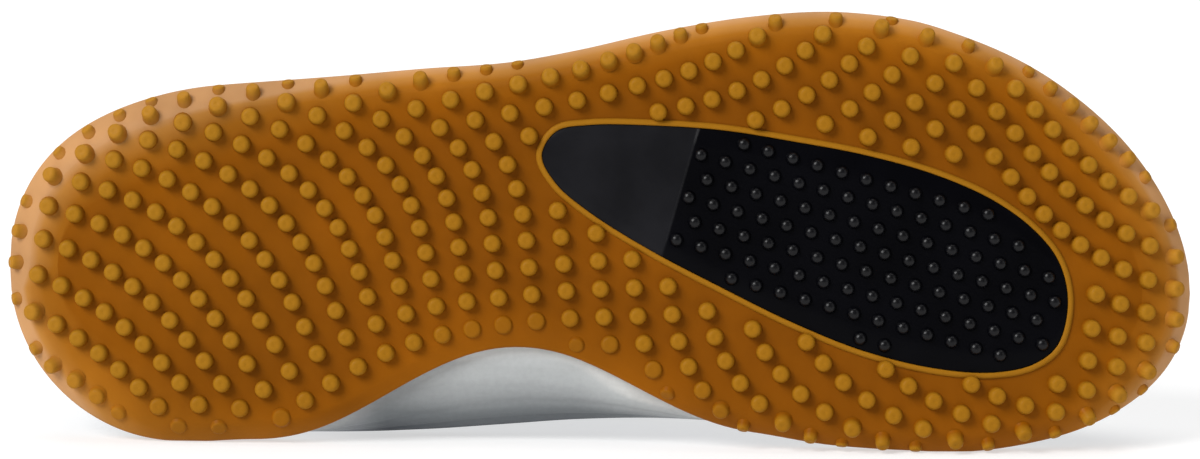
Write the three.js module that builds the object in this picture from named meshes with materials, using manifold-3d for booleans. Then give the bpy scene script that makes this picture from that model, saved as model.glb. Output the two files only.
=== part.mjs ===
import * as THREE from 'three';
import { mergeVertices } from 'three/addons/utils/BufferGeometryUtils.js';
import Module from 'manifold-3d';

// Turf shoe for the right foot, lying on its inner side. Millimetres.
// The shoe is worked out in its own frame: x from heel to toe, y towards the
// big toe's side (medial), z up from the ground it would be worn on.

// Sole in plan
const soleLength = 300;
const ballWidth = 109.5;
const waistWidth = 93.5;
const heelWidth = 90;
const heelRound = 53;
const heelShape = 2.15;
const toeRound = 81;
const archCut = 21.5;

// Sole from the side
const toeSpring = 12;
const heelBevel = 4;
const heelStack = 25;
const foreStack = 16;
// Shares of the length: where the toe starts to rise, where the heel's bevel
// ends, and between which the stack falls from the heel's to the forefoot's
const springStart = 0.68;
const bevelEnd = 0.12;
const dropStart = 0.2;
const dropEnd = 0.72;

// Outsole
const plate = 3;
const cupHeight = 9.5;
const cupWall = 2.6;
const rollWidth = 6;
const rollRise = 4.6;
const archLip = 0.5;

// Studs
const studWidth = 4.3;
const studTip = 3;
const studHeight = 3;
const studMargin = 2.6;
const studSunk = 0.7;

// Pad let into the forefoot
const padDepth = 1;
const padProud = 0.4;
const padRimWidth = 1.2;
const padRimHeight = 0.8;

// Upper
const upperWall = 2.2;
const instepHeight = 76;
const heelHeight = 62;
const toeHeight = 30;
const bellyHeight = 24;
const featherTuck = 2;
const heelLean = 12;
const instepLean = 4;
const eyestayStep = 0.8;

// Tongue, insole and laces
const tongueThickness = 4;
const tongueWidth = 52;
const tongueRise = 18;
const insoleThickness = 4.5;
const laceWidth = 7;
const laceThickness = 1.4;
const eyeletBore = 4.4;
const eyeletInset = 6;
const laceRows = 6;
const topEyelet = 0.45;
const lowEyelet = 0.695;

// Clearances between pieces
const seatGap = 0.3;
const sideGap = 0.5;
const tongueGap = 1.1;
const laceGap = 0.9;

// How deep the weight presses each support flat against the floor
const contactDepth = 0.35;

// Row for each station along the sole: centre line as a share of the ball
// width, and the shares of the three named widths that make up the width there.
const SOLE = [
  { at: 0.0, centre: 0.082, heel: 1, waist: 0, ball: 0 },
  { at: 0.1, centre: 0.089, heel: 1, waist: 0, ball: 0 },
  { at: 0.2, centre: 0.07, heel: 0.9, waist: 0.1, ball: 0 },
  { at: 0.28, centre: 0.062, heel: 0.3, waist: 0.7, ball: 0 },
  { at: 0.35, centre: 0.049, heel: 0, waist: 1, ball: 0 },
  { at: 0.42, centre: 0.034, heel: 0, waist: 1, ball: 0 },
  { at: 0.48, centre: 0.013, heel: 0, waist: 0.88, ball: 0.12 },
  { at: 0.55, centre: -0.011, heel: 0, waist: 0.6, ball: 0.4 },
  { at: 0.62, centre: -0.022, heel: 0, waist: 0.3, ball: 0.7 },
  { at: 0.69, centre: -0.014, heel: 0, waist: 0, ball: 1 },
  { at: 0.76, centre: 0.002, heel: 0, waist: 0, ball: 1 },
  { at: 0.8, centre: 0.02, heel: 0, waist: 0, ball: 1 },
  { at: 0.86, centre: 0.046, heel: 0, waist: 0, ball: 1 },
  { at: 0.9, centre: 0.068, heel: 0, waist: 0, ball: 1 },
  { at: 0.95, centre: 0.098, heel: 0, waist: 0, ball: 1 },
  { at: 1.0, centre: 0.137, heel: 0, waist: 0, ball: 1 },
];

// Row for each section of the upper. The height of its edge or ridge is made
// of shares of the three named heights, gap is the opening's half width as a
// share of the section's, and inset is how far the belly lies inside the sole.
const UPPER = [
  { at: 0.0, heel: 1, instep: 0, toe: 0, gap: 0.86, inset: 5 },
  { at: 0.05, heel: 0.97, instep: 0, toe: 0, gap: 0.87, inset: 4.5 },
  { at: 0.12, heel: 0.88, instep: 0, toe: 0, gap: 0.87, inset: 3.5 },
  { at: 0.21, heel: 0.8, instep: 0, toe: 0, gap: 0.87, inset: 3 },
  { at: 0.3, heel: 0.6, instep: 0.22, toe: 0, gap: 0.84, inset: 3 },
  { at: 0.36, heel: 0.3, instep: 0.56, toe: 0, gap: 0.75, inset: 3 },
  { at: 0.4, heel: 0.1, instep: 0.86, toe: 0, gap: 0.56, inset: 3 },
  { at: 0.43, heel: 0, instep: 0.98, toe: 0, gap: 0.34, inset: 3 },
  { at: 0.48, heel: 0, instep: 0.92, toe: 0, gap: 0.26, inset: 3.5 },
  { at: 0.56, heel: 0, instep: 0.77, toe: 0, gap: 0.23, inset: 4 },
  { at: 0.64, heel: 0, instep: 0.66, toe: 0, gap: 0.22, inset: 4.5 },
  { at: 0.7, heel: 0, instep: 0.6, toe: 0, gap: 0.2, inset: 4.5 },
  { at: 0.735, heel: 0, instep: 0.58, toe: 0, gap: 0.13, inset: 4.5 },
  { at: 0.745, heel: 0, instep: 0.57, toe: 0, gap: 0, inset: 4.5 },
  { at: 0.82, heel: 0, instep: 0.38, toe: 0.37, gap: 0, inset: 4.5 },
  { at: 0.89, heel: 0, instep: 0.2, toe: 0.72, gap: 0, inset: 4.5 },
  { at: 0.94, heel: 0, instep: 0, toe: 1, gap: 0, inset: 4.5 },
  { at: 0.975, heel: 0, instep: 0, toe: 0.78, gap: 0, inset: 4 },
  { at: 1.0, heel: 0, instep: 0, toe: 0.45, gap: 0, inset: 4 },
];

// Row for each guide line of studs across the sole. The four places on it are
// shares of the sole's length and of the ball width, from the lateral edge in.
const STUD_GUIDES = [
  { line: -8, along: [-0.12, -0.05, 0.005, 0.07], across: [-0.09, 0.09, 0.36, 0.7] },
  { line: -2, along: [0.065, 0.135, 0.15, 0.18], across: [-0.31, -0.13, 0.165, 0.54] },
  { line: 4, along: [0.255, 0.335, 0.31, 0.305], across: [-0.475, -0.21, 0.09, 0.52] },
  { line: 10, along: [0.465, 0.505, 0.45, 0.45], across: [-0.475, -0.155, 0.175, 0.5] },
  { line: 16, along: [0.63, 0.645, 0.605, 0.635], across: [-0.455, -0.055, 0.29, 0.555] },
  { line: 22, along: [0.755, 0.8, 0.805, 0.85], across: [-0.485, -0.08, 0.255, 0.485] },
  { line: 28, along: [0.885, 0.925, 0.97, 1.04], across: [-0.575, -0.23, 0.065, 0.265] },
];
const guideSlots = [-9, -4, 1, 6];
const guideStep = 6;
const guideSlant = 0.4;

// Row for each station of the forefoot pad: its edges as shares of ball width.
const PAD = [
  { at: 0.45, lateral: -0.18, medial: -0.18 },
  { at: 0.462, lateral: -0.235, medial: -0.115 },
  { at: 0.49, lateral: -0.25, medial: -0.05 },
  { at: 0.54, lateral: -0.25, medial: 0.035 },
  { at: 0.6, lateral: -0.24, medial: 0.12 },
  { at: 0.66, lateral: -0.215, medial: 0.2 },
  { at: 0.72, lateral: -0.185, medial: 0.265 },
  { at: 0.78, lateral: -0.14, medial: 0.305 },
  { at: 0.83, lateral: -0.08, medial: 0.315 },
  { at: 0.865, lateral: -0.01, medial: 0.295 },
  { at: 0.885, lateral: 0.06, medial: 0.25 },
  { at: 0.893, lateral: 0.15, medial: 0.15 },
];

const LATERAL = -1;
const MEDIAL = 1;

// Stations round the sole, closer at the round ends and along the arch
const soleStations = [
  0, 0.008, 0.03, 0.065, 0.11, 0.16, 0.21, 0.26, 0.31, 0.355, 0.395, 0.43, 0.465, 0.505, 0.55,
  0.6, 0.65, 0.7, 0.75, 0.8, 0.845, 0.885, 0.92, 0.95, 0.975, 0.993, 1,
];

// Corner of a stud's square over the width of the round stud that it stands for
const studCorner = 1.2;
// Middle and half length of the arch, as shares of the sole's length
const archCentre = 0.42;
const archReach = 0.21;

const wasm = await Module();
wasm.setup();

function clamp(value, low, high) {
  return Math.min(Math.max(value, low), high);
}

function mix(a, b, share) {
  return a + (b - a) * share;
}

// Smooth value of one column of a table, at a share of the way along it.
function column(rows, name, at) {
  const end = rows.length - 1;
  const place = clamp(at, rows[0].at, rows[end].at);
  let k = 0;
  while (k < end - 1 && place > rows[k + 1].at) k += 1;
  const slope = (n) => {
    const before = rows[Math.max(n - 1, 0)];
    const after = rows[Math.min(n + 1, end)];
    return (after[name] - before[name]) / (after.at - before.at);
  };
  const span = rows[k + 1].at - rows[k].at;
  const t = (place - rows[k].at) / span;
  const rise = rows[k + 1][name] - rows[k][name];
  const lean = slope(k) * span;
  const leave = slope(k + 1) * span;
  return rows[k][name] + t * lean + t * t * (3 * rise - 2 * lean - leave)
    + t * t * t * (lean + leave - 2 * rise);
}

// Heights along the sole

function springRise(x) {
  const toe = Math.max((x / soleLength - springStart) / (1 - springStart), 0);
  return toeSpring * toe * toe;
}

function groundLift(x) {
  const heel = Math.max(1 - x / (bevelEnd * soleLength), 0);
  return springRise(x) + heelBevel * heel * heel;
}

function topHeight(x) {
  const drop = THREE.MathUtils.smoothstep(x / soleLength, dropStart, dropEnd);
  return mix(heelStack, foreStack, drop) + springRise(x);
}

// Bell that is 1 at the middle of the arch and 0 at its two ends.
function archBell(at) {
  const away = clamp((at - archCentre) / archReach, -1, 1);
  return Math.cos((away * Math.PI) / 2) ** 2;
}

function fullHalfWidth(at) {
  const heel = column(SOLE, 'heel', at) * heelWidth;
  const waist = column(SOLE, 'waist', at) * waistWidth;
  const ball = column(SOLE, 'ball', at) * ballWidth;
  return (heel + waist + ball) / 2;
}

// Rounded ends of the outline: 0 at the tip, 1 where the round ends.
function endRound(at) {
  const x = at * soleLength;
  const heel = clamp(1 - x / heelRound, 0, 1);
  const toe = clamp(1 - (soleLength - x) / toeRound, 0, 1);
  return (1 - heel ** heelShape) ** (1 / heelShape) * Math.sqrt(1 - toe * toe);
}

// Point of the sole's plan outline, moved in by inset. cut is the share of the
// arch's cut-out that this outline follows.
function planPoint(at, side, inset, cut) {
  const full = fullHalfWidth(at);
  const half = full * endRound(at) * (1 - inset / full);
  const hollow = side === MEDIAL ? cut * archCut * archBell(at) : 0;
  const x = soleLength * at + inset * (1 - 2 * at);
  const y = column(SOLE, 'centre', at) * ballWidth + side * half - hollow;
  return new THREE.Vector2(x, y);
}

// 1 along the arch's cut-out, where the cup wall dies away, and 0 elsewhere.
function archFade(at, side) {
  return side === MEDIAL ? Math.min(1, 2 * archBell(at)) : 0;
}

function cupTop(at, side) {
  return mix(cupHeight, plate + archLip, archFade(at, side));
}

// Closed meshes out of rings of points

class Skin {
  constructor() {
    this.points = [];
    this.faces = [];
  }

  triangle(a, b, c) {
    this.faces.push(this.points.length, this.points.length + 1, this.points.length + 2);
    this.points.push(a, b, c);
  }

  quad(a, b, c, d) {
    this.triangle(a, b, c);
    this.triangle(a, c, d);
  }

  // Wall between two closed rings with the same number of points.
  band(lower, upper) {
    lower.forEach((point, k) => {
      const next = (k + 1) % lower.length;
      this.quad(point, lower[next], upper[next], upper[k]);
    });
  }

  // Lid over a ring that runs from the heel along one side and back along the
  // other: one flat strip for each pair of stations.
  lid(ring, flip) {
    const n = ring.length;
    for (let k = 0; k < n / 2; k += 1) {
      const a = ring[k];
      const b = ring[k + 1];
      const c = ring[(n - k - 1) % n];
      const d = ring[(n - k) % n];
      if (flip) this.quad(d, c, b, a);
      else this.quad(a, b, c, d);
    }
  }

  // Solid with merged corners, faces pointing out and empty faces left out.
  solid() {
    const raw = new THREE.BufferGeometry().setFromPoints(this.points);
    raw.setIndex(this.faces);
    const merged = mergeVertices(raw, 1e-4);
    const position = merged.getAttribute('position');
    const index = merged.getIndex().array;
    const corners = [];
    for (let k = 0; k < index.length; k += 3) {
      const [a, b, c] = [index[k], index[k + 1], index[k + 2]];
      if (a !== b && b !== c && c !== a) corners.push(a, b, c);
    }
    return solidFrom(position.array, corners);
  }
}

function signedVolume(positions, corners) {
  const p = [0, 1, 2].map(() => new THREE.Vector3());
  let volume = 0;
  for (let k = 0; k < corners.length; k += 3) {
    p.forEach((point, n) => point.fromArray(positions, 3 * corners[k + n]));
    volume += p[0].dot(p[1].clone().cross(p[2])) / 6;
  }
  return volume;
}

function solidFrom(positions, corners) {
  const inward = signedVolume(positions, corners) < 0;
  const triVerts = new Uint32Array(corners);
  if (inward) {
    for (let k = 0; k < triVerts.length; k += 3) {
      [triVerts[k + 1], triVerts[k + 2]] = [triVerts[k + 2], triVerts[k + 1]];
    }
  }
  const vertProperties = new Float32Array(positions);
  return new wasm.Manifold(new wasm.Mesh({ numProp: 3, vertProperties, triVerts }));
}

function solidFromGeometry(geometry) {
  const bare = geometry.clone();
  bare.deleteAttribute('normal');
  bare.deleteAttribute('uv');
  const merged = mergeVertices(bare, 1e-4);
  return solidFrom(merged.getAttribute('position').array, [...merged.getIndex().array]);
}

function geometryOf(solid) {
  const mesh = solid.getMesh();
  const geometry = new THREE.BufferGeometry();
  geometry.setAttribute('position', new THREE.BufferAttribute(mesh.vertProperties, 3));
  geometry.setIndex(new THREE.BufferAttribute(mesh.triVerts, 1));
  geometry.computeVertexNormals();
  return geometry;
}

function meshOf(name, solid, color, roughness) {
  const material = new THREE.MeshStandardMaterial({ color, roughness, metalness: 0 });
  const mesh = new THREE.Mesh(geometryOf(solid), material);
  mesh.name = name;
  return mesh;
}

// Ring round the sole: heel tip, lateral side, toe tip, medial side.
function soleRing(inset, cut, height) {
  const point = (at, side) => {
    const plan = planPoint(at, side, inset, cut);
    return new THREE.Vector3(plan.x, plan.y, height(plan.x, at, side));
  };
  const lateral = soleStations.map((at) => point(at, LATERAL));
  const medial = soleStations.slice(1, -1).reverse().map((at) => point(at, MEDIAL));
  return [...lateral, ...medial];
}

function ringSolid(rings) {
  const skin = new Skin();
  for (let k = 1; k < rings.length; k += 1) skin.band(rings[k - 1], rings[k]);
  skin.lid(rings[0], true);
  skin.lid(rings[rings.length - 1], false);
  return skin.solid();
}

// Outsole

const wallInset = 0.6;
const floorInset = wallInset + cupWall + seatGap;

// Rise of the rolled edge above the ground: low where the arch is cut out.
function edgeRise(at, side) {
  return mix(rollRise, plate * 0.6, archFade(at, side));
}

function outsoleShell() {
  const ground = (x) => groundLift(x);
  const edge = (x, at, side) => groundLift(x) + edgeRise(at, side);
  const rim = (x, at, side) => groundLift(x) + cupTop(at, side);
  const floor = (x) => groundLift(x) + plate;
  return ringSolid([
    soleRing(rollWidth, 1, ground),
    soleRing(0, 1, edge),
    soleRing(wallInset, 1, rim),
    soleRing(wallInset + cupWall, 1, rim),
    soleRing(floorInset, 1, floor),
  ]);
}

// True if a plan point lies inside the outsole's outline moved in by inset.
function isInside(x, y, inset) {
  const at = (x - inset) / (soleLength - 2 * inset);
  if (at <= 0 || at >= 1) return false;
  const low = planPoint(at, LATERAL, inset, 1).y;
  const high = planPoint(at, MEDIAL, inset, 1).y;
  return y > low && y < high;
}

// Distance of a plan point from the outsole's edge, up to the end of the roll.
function edgeDistance(x, y) {
  let near = 0;
  let far = rollWidth + 2;
  if (isInside(x, y, far)) return far;
  for (let k = 0; k < 10; k += 1) {
    const middle = (near + far) / 2;
    if (isInside(x, y, middle)) near = middle;
    else far = middle;
  }
  return near;
}

function soleUnderside(x, y) {
  const at = x / soleLength;
  const side = y > column(SOLE, 'centre', at) * ballWidth ? MEDIAL : LATERAL;
  const turned = clamp(1 - edgeDistance(x, y) / rollWidth, 0, 1);
  return groundLift(x) + edgeRise(at, side) * turned;
}

// Direction straight out of the sole's underside.
function undersideNormal(x, y) {
  const reach = 1.6;
  const slopeX = (soleUnderside(x + reach, y) - soleUnderside(x - reach, y)) / (2 * reach);
  const slopeY = (soleUnderside(x, y + reach) - soleUnderside(x, y - reach)) / (2 * reach);
  return new THREE.Vector3(slopeX, slopeY, -1).normalize();
}

// Value at a slot between four evenly spaced ones, on the cubic through them.
function acrossGuide(values, slot) {
  return values.reduce((sum, value, a) => {
    const share = guideSlots.reduce((product, other, b) => {
      if (a === b) return product;
      return (product * (slot - other)) / (guideSlots[a] - other);
    }, 1);
    return sum + value * share;
  }, 0);
}

// Smooth value between guide lines, running straight on past the end ones.
function alongGuides(list, line) {
  const first = STUD_GUIDES[0].line;
  const end = list.length - 1;
  const place = (line - first) / guideStep;
  const k = clamp(Math.floor(place), 0, end - 1);
  const t = place - k;
  const before = k > 0 ? list[k - 1] : 2 * list[0] - list[1];
  const after = k < end - 1 ? list[k + 2] : 2 * list[end] - list[end - 1];
  const a = list[k];
  const b = list[k + 1];
  const bend = 2 * before - 5 * a + 4 * b - after;
  const twist = 3 * a - before - 3 * b + after;
  return a + (t * (b - before + t * (bend + t * twist))) / 2;
}

// True where the guide lines can be trusted: a little way past their ends.
function inGuides(line, slot) {
  return line > -11 && line < 32 && slot > -13 && slot < 9;
}

// Places of the studs: a staggered grid bent along the guide lines.
function studPlaces() {
  const rows = { first: -13, last: 24 };
  const steps = { first: -20, last: 44 };
  const places = [];
  for (let row = rows.first; row <= rows.last; row += 1) {
    for (let step = steps.first; step <= steps.last; step += 1) {
      const line = step + (row % 2 === 0 ? 0 : 0.5);
      const slot = row - 1 - guideSlant * (line + 4);
      const along = STUD_GUIDES.map((guide) => acrossGuide(guide.along, slot));
      const across = STUD_GUIDES.map((guide) => acrossGuide(guide.across, slot));
      const x = alongGuides(along, line) * soleLength;
      const y = alongGuides(across, line) * ballWidth;
      if (inGuides(line, slot) && isInside(x, y, studMargin)) places.push(new THREE.Vector2(x, y));
    }
  }
  return places;
}

// Four-sided stud with sloping sides, its foot sunk into the rubber.
function studSolid(place) {
  const sides = [0, 1, 2, 3].map((k) => (k * Math.PI) / 2 + Math.PI / 4);
  const root = new THREE.Vector3(place.x, place.y, soleUnderside(place.x, place.y));
  const down = new THREE.Vector3(0, 0, -1);
  const turn = new THREE.Quaternion().setFromUnitVectors(down, undersideNormal(place.x, place.y));
  const ring = (width, height) => sides.map((angle) => {
    const corner = new THREE.Vector3(Math.cos(angle), Math.sin(angle), 0);
    corner.multiplyScalar(width / 2).setZ(-height);
    return corner.applyQuaternion(turn).add(root);
  });
  const foot = ring(studWidth * studCorner, -studSunk);
  const tip = ring(studTip * studCorner, studHeight);
  const skin = new Skin();
  skin.band(foot, tip);
  skin.quad(...foot.reverse());
  skin.quad(...tip);
  return skin.solid();
}

function joinAll(solids) {
  return solids.reduce((whole, piece) => whole.add(piece));
}

// Pad of the forefoot, its pocket and its rim

function padRing(grow, height) {
  const first = PAD[0].at;
  const end = PAD[PAD.length - 1].at;
  const side = (row, name, sign) => {
    const at = row.at + (grow / soleLength) * (2 * ((row.at - first) / (end - first)) - 1);
    const x = at * soleLength;
    const tip = row.at === first || row.at === end;
    const y = row[name] * ballWidth + (tip ? 0 : sign * grow);
    return new THREE.Vector3(x, y, height(x));
  };
  const lateral = PAD.map((row) => side(row, 'lateral', LATERAL));
  const medial = PAD.slice(1, -1).reverse().map((row) => side(row, 'medial', MEDIAL));
  return [...lateral, ...medial];
}

function padPrism(grow, low, high) {
  return ringSolid([
    padRing(grow, (x) => groundLift(x) + low),
    padRing(grow, (x) => groundLift(x) + high),
  ]);
}

function isOnPad(place, grow) {
  const at = place.x / soleLength;
  const reach = grow / soleLength;
  if (at < PAD[0].at - reach || at > PAD[PAD.length - 1].at + reach) return false;
  const low = column(PAD, 'lateral', at) * ballWidth - grow;
  const high = column(PAD, 'medial', at) * ballWidth + grow;
  return place.y > low && place.y < high;
}

function buildOutsole() {
  const clear = seatGap + padRimWidth + studWidth / 2;
  const places = studPlaces().filter((place) => !isOnPad(place, clear));
  const studs = places.map(studSolid);
  const rim = padPrism(seatGap + padRimWidth, -padRimHeight, padDepth);
  const pocket = padPrism(seatGap, -plate, padDepth + seatGap);
  return joinAll([outsoleShell(), rim, ...studs]).subtract(pocket);
}

function buildPad() {
  return padPrism(0, -padProud, padDepth);
}

// Midsole

// Row for each edge down the midsole's side: its height as a share of the way
// from the cup's rim to the top, its inset, and the share of the arch's
// cut-out it follows. The wall bulges out over the arch.
const MIDSOLE_SIDE = [
  { height: 1, inset: 3, cut: 0 },
  { height: 0.93, inset: 1.8, cut: 0 },
  { height: 0.7, inset: 1.4, cut: 0 },
  { height: 0.38, inset: 1.2, cut: 0.2 },
  { height: 0.14, inset: 1, cut: 0.55 },
  { height: 0, inset: wallInset, cut: 1 },
];

function buildMidsole() {
  const level = (share) => (x, at, side) => {
    const low = groundLift(x) + cupTop(at, side) + seatGap;
    return mix(low, topHeight(x), share);
  };
  const floor = (x) => groundLift(x) + plate + seatGap;
  const cupInset = wallInset + cupWall + seatGap;
  return ringSolid([
    ...MIDSOLE_SIDE.map(({ height, inset, cut }) => soleRing(inset, cut, level(height))),
    soleRing(cupInset, 1, level(0)),
    soleRing(cupInset + seatGap, 1, floor),
  ]);
}

// Upper

const sectionShape = 2.2;
const bellyShare = 0.25;
const bellyLimit = 0.42;
const leanFrom = { start: 0.3, full: 0.5 };
const leanTo = { full: 0.6, end: 0.85 };
const heelLeanEnd = 0.25;
const heelHollow = 0.35;

function gapShare(at) {
  return Math.max(column(UPPER, 'gap', at), 0);
}

// How far the ridge leans towards the medial side at a station.
function ridgeShift(at) {
  const { smoothstep } = THREE.MathUtils;
  const rise = smoothstep(at, leanFrom.start, leanFrom.full);
  return instepLean * rise * (1 - smoothstep(at, leanTo.full, leanTo.end));
}

// Form of the last: a point of its section at a station. turn is 0 at the
// feather edge, bellyShare at the widest place and 1 at the opening's edge or,
// where the section is closed, at the ridge. depth is how far inside it lies.
function lastPoint(at, side, turn, depth) {
  const inset = column(UPPER, 'inset', at) + depth;
  const tucked = planPoint(at, side, inset + featherTuck, 0);
  const wide = planPoint(at, side, inset, 0);
  const middle = column(SOLE, 'centre', at) * ballWidth;
  const low = topHeight(wide.x) + seatGap;
  const rise = column(UPPER, 'heel', at) * heelHeight
    + column(UPPER, 'instep', at) * instepHeight + column(UPPER, 'toe', at) * toeHeight;
  const belly = Math.min(bellyHeight, rise * bellyLimit);
  const gap = gapShare(at);
  if (turn <= bellyShare) {
    const t = turn / bellyShare;
    const y = mix(tucked.y, wide.y, 1 - (1 - t) ** 2);
    return leanBack(at, new THREE.Vector3(wide.x, y, low + belly * t), low);
  }
  const arch = (1 - gap ** sectionShape) ** (1 / sectionShape);
  const crown = (rise - belly) / arch - depth;
  const start = gap ** (sectionShape / 2);
  const edgeTurn = Math.asin(clamp(start, 0, 1));
  const angle = mix(Math.PI / 2, edgeTurn, (turn - bellyShare) / (1 - bellyShare));
  const out = Math.max(Math.sin(angle), 0) ** (2 / sectionShape);
  const up = Math.max(Math.cos(angle), 0) ** (2 / sectionShape);
  const y = middle + (wide.y - middle) * out + ridgeShift(at) * up;
  return leanBack(at, new THREE.Vector3(wide.x, y, low + belly + crown * up), low);
}

// The back of the heel leans forward towards the collar.
function leanBack(at, point, low) {
  const near = clamp(1 - at / heelLeanEnd, 0, 1);
  const share = (point.z - low) / heelHeight;
  point.x += heelLean * near * near * (share * share - heelHollow * share);
  return point;
}

const upperStations = [
  0, 0.01, 0.035, 0.075, 0.125, 0.185, 0.25, 0.305, 0.345, 0.375, 0.4, 0.42, 0.445, 0.5,
  0.56, 0.62, 0.68, 0.715, 0.735, 0.745, 0.79, 0.84, 0.88, 0.915, 0.945, 0.97, 0.99, 1,
];
const throatFront = 0.745;
const eyestayTurn = 0.85;
const eyestayBack = 0.38;
const eyestayFront = 0.79;
const upperTurns = [0, 0.125, bellyShare, 0.42, 0.58, 0.72, eyestayTurn, eyestayTurn + 0.015, 1];

// How far the eyestay stands proud of the rest of the wall.
function eyestay(at, turn) {
  const onEyestay = turn > eyestayTurn && at > eyestayBack && at < eyestayFront;
  return onEyestay ? eyestayStep : 0;
}

function buildUpper() {
  const skin = new Skin();
  const grid = (side, depth) => upperStations.map((at) => upperTurns.map((turn) => {
    const step = depth === 0 ? eyestay(at, turn) : 0;
    return lastPoint(at, side, turn, depth - step);
  }));
  [LATERAL, MEDIAL].forEach((side) => {
    const outer = grid(side, 0);
    const inner = grid(side, upperWall);
    const face = (a, b, c, d) => {
      if (side === MEDIAL) skin.quad(a, b, c, d);
      else skin.quad(d, c, b, a);
    };
    const top = upperTurns.length - 1;
    for (let k = 0; k < upperStations.length - 1; k += 1) {
      for (let n = 0; n < top; n += 1) {
        face(outer[k][n], outer[k][n + 1], outer[k + 1][n + 1], outer[k + 1][n]);
        face(inner[k + 1][n], inner[k + 1][n + 1], inner[k][n + 1], inner[k][n]);
      }
      face(inner[k][0], outer[k][0], outer[k + 1][0], inner[k + 1][0]);
      if (upperStations[k] < throatFront) {
        face(outer[k][top], inner[k][top], inner[k + 1][top], outer[k + 1][top]);
      }
    }
  });
  const holes = eyeletPlaces().map(eyeletPunch);
  return skin.solid().subtract(joinAll(holes));
}

// Centre of each eyelet, on the eyestay's outer face beside the throat.
function eyeletPlaces() {
  const places = [];
  for (let row = 0; row < laceRows; row += 1) {
    const at = mix(topEyelet, lowEyelet, row / (laceRows - 1));
    places.push({ at, side: LATERAL }, { at, side: MEDIAL });
  }
  return places;
}

// Point over the last's form at a distance across from the ridge line.
function overLast(at, across, depth) {
  const side = across < 0 ? LATERAL : MEDIAL;
  const edge = lastPoint(at, side, 1, depth);
  const wide = lastPoint(at, side, bellyShare, depth);
  const gap = gapShare(at);
  const middle = column(SOLE, 'centre', at) * ballWidth;
  const arch = (1 - gap ** sectionShape) ** (1 / sectionShape);
  const crown = (edge.z - wide.z) / arch;
  const out = clamp(Math.abs(across) / Math.abs(wide.y - middle), 0, 0.98);
  const up = (1 - out ** sectionShape) ** (1 / sectionShape);
  const y = middle + across + ridgeShift(at) * up;
  return new THREE.Vector3(edge.x, y, wide.z + crown * up);
}

function throatHalfGap(at, side) {
  const middle = column(SOLE, 'centre', at) * ballWidth;
  const wide = lastPoint(at, side, bellyShare, 0);
  return gapShare(at) * Math.abs(wide.y - middle);
}

function eyeletPunch({ at, side }) {
  const punchReach = 3;
  const across = side * (throatHalfGap(at, side) + eyeletInset);
  const outside = overLast(at, across, -punchReach);
  const inside = overLast(at, across, upperWall + punchReach);
  const axis = outside.clone().sub(inside);
  const sides = 6;
  const punch = new THREE.CylinderGeometry(eyeletBore / 2, eyeletBore / 2, axis.length(), sides);
  const up = new THREE.Vector3(0, 1, 0);
  punch.applyQuaternion(new THREE.Quaternion().setFromUnitVectors(up, axis.clone().normalize()));
  const centre = outside.add(inside).multiplyScalar(0.5);
  punch.translate(centre.x, centre.y, centre.z);
  return solidFromGeometry(punch);
}

// Tongue

function buildTongue() {
  const stations = [0.79, 0.75, 0.7, 0.64, 0.58, 0.52, 0.46, 0.42, 0.39, 0.365, 0.34];
  const shares = [-1, -0.67, -0.33, 0, 0.33, 0.67, 1];
  const leaves = 0.39;
  const tongueTaper = 0.8;
  const tongueEdge = 0.6;
  const tip = stations[stations.length - 1];
  const row = (at, depth) => shares.map((share) => {
    const along = clamp((at - tip) / (stations[0] - tip), 0, 1);
    const across = (share * tongueWidth * mix(1, tongueTaper, along)) / 2;
    const thin = Math.abs(share) === 1 ? tongueEdge : 0;
    const lift = tongueRise * clamp((leaves - at) / (leaves - tip), 0, 1);
    const settle = depth > 0 ? -thin : thin;
    const point = overLast(Math.max(at, leaves), across, upperWall + tongueGap + depth + settle);
    point.x -= (Math.max(at, leaves) - at) * soleLength;
    point.z += lift;
    return point;
  });
  const skin = new Skin();
  const outer = stations.map((at) => row(at, 0));
  const inner = stations.map((at) => row(at, tongueThickness));
  const rings = stations.map((at, k) => [...outer[k], ...inner[k].slice().reverse()]);
  for (let k = 1; k < rings.length; k += 1) skin.band(rings[k - 1], rings[k]);
  [0, rings.length - 1].forEach((k) => {
    for (let n = 0; n < shares.length - 1; n += 1) {
      const corners = [outer[k][n], outer[k][n + 1], inner[k][n + 1], inner[k][n]];
      if (k === 0) skin.quad(...corners.reverse());
      else skin.quad(...corners);
    }
  });
  return skin.solid();
}

// Insole

function buildInsole() {
  const edgeRound = 0.5;
  const dishInset = 6;
  const dishDepth = 1.1;
  const ring = (extra, height) => {
    const point = (at, side) => {
      const inset = column(UPPER, 'inset', at) + featherTuck + upperWall + sideGap + extra;
      const plan = planPoint(at, side, inset, 0);
      return new THREE.Vector3(plan.x, plan.y, topHeight(plan.x) + seatGap + height);
    };
    const stations = soleStations.filter((at, k) => k % 2 === 0);
    const lateral = stations.map((at) => point(at, LATERAL));
    const medial = stations.slice(1, -1).reverse().map((at) => point(at, MEDIAL));
    return [...lateral, ...medial];
  };
  return ringSolid([
    ring(edgeRound, 0),
    ring(0, insoleThickness / 2),
    ring(edgeRound, insoleThickness),
    ring(dishInset, insoleThickness - dishDepth),
  ]);
}

// Laces: flat straps that cross over the tongue from eyelet to eyelet.

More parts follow.
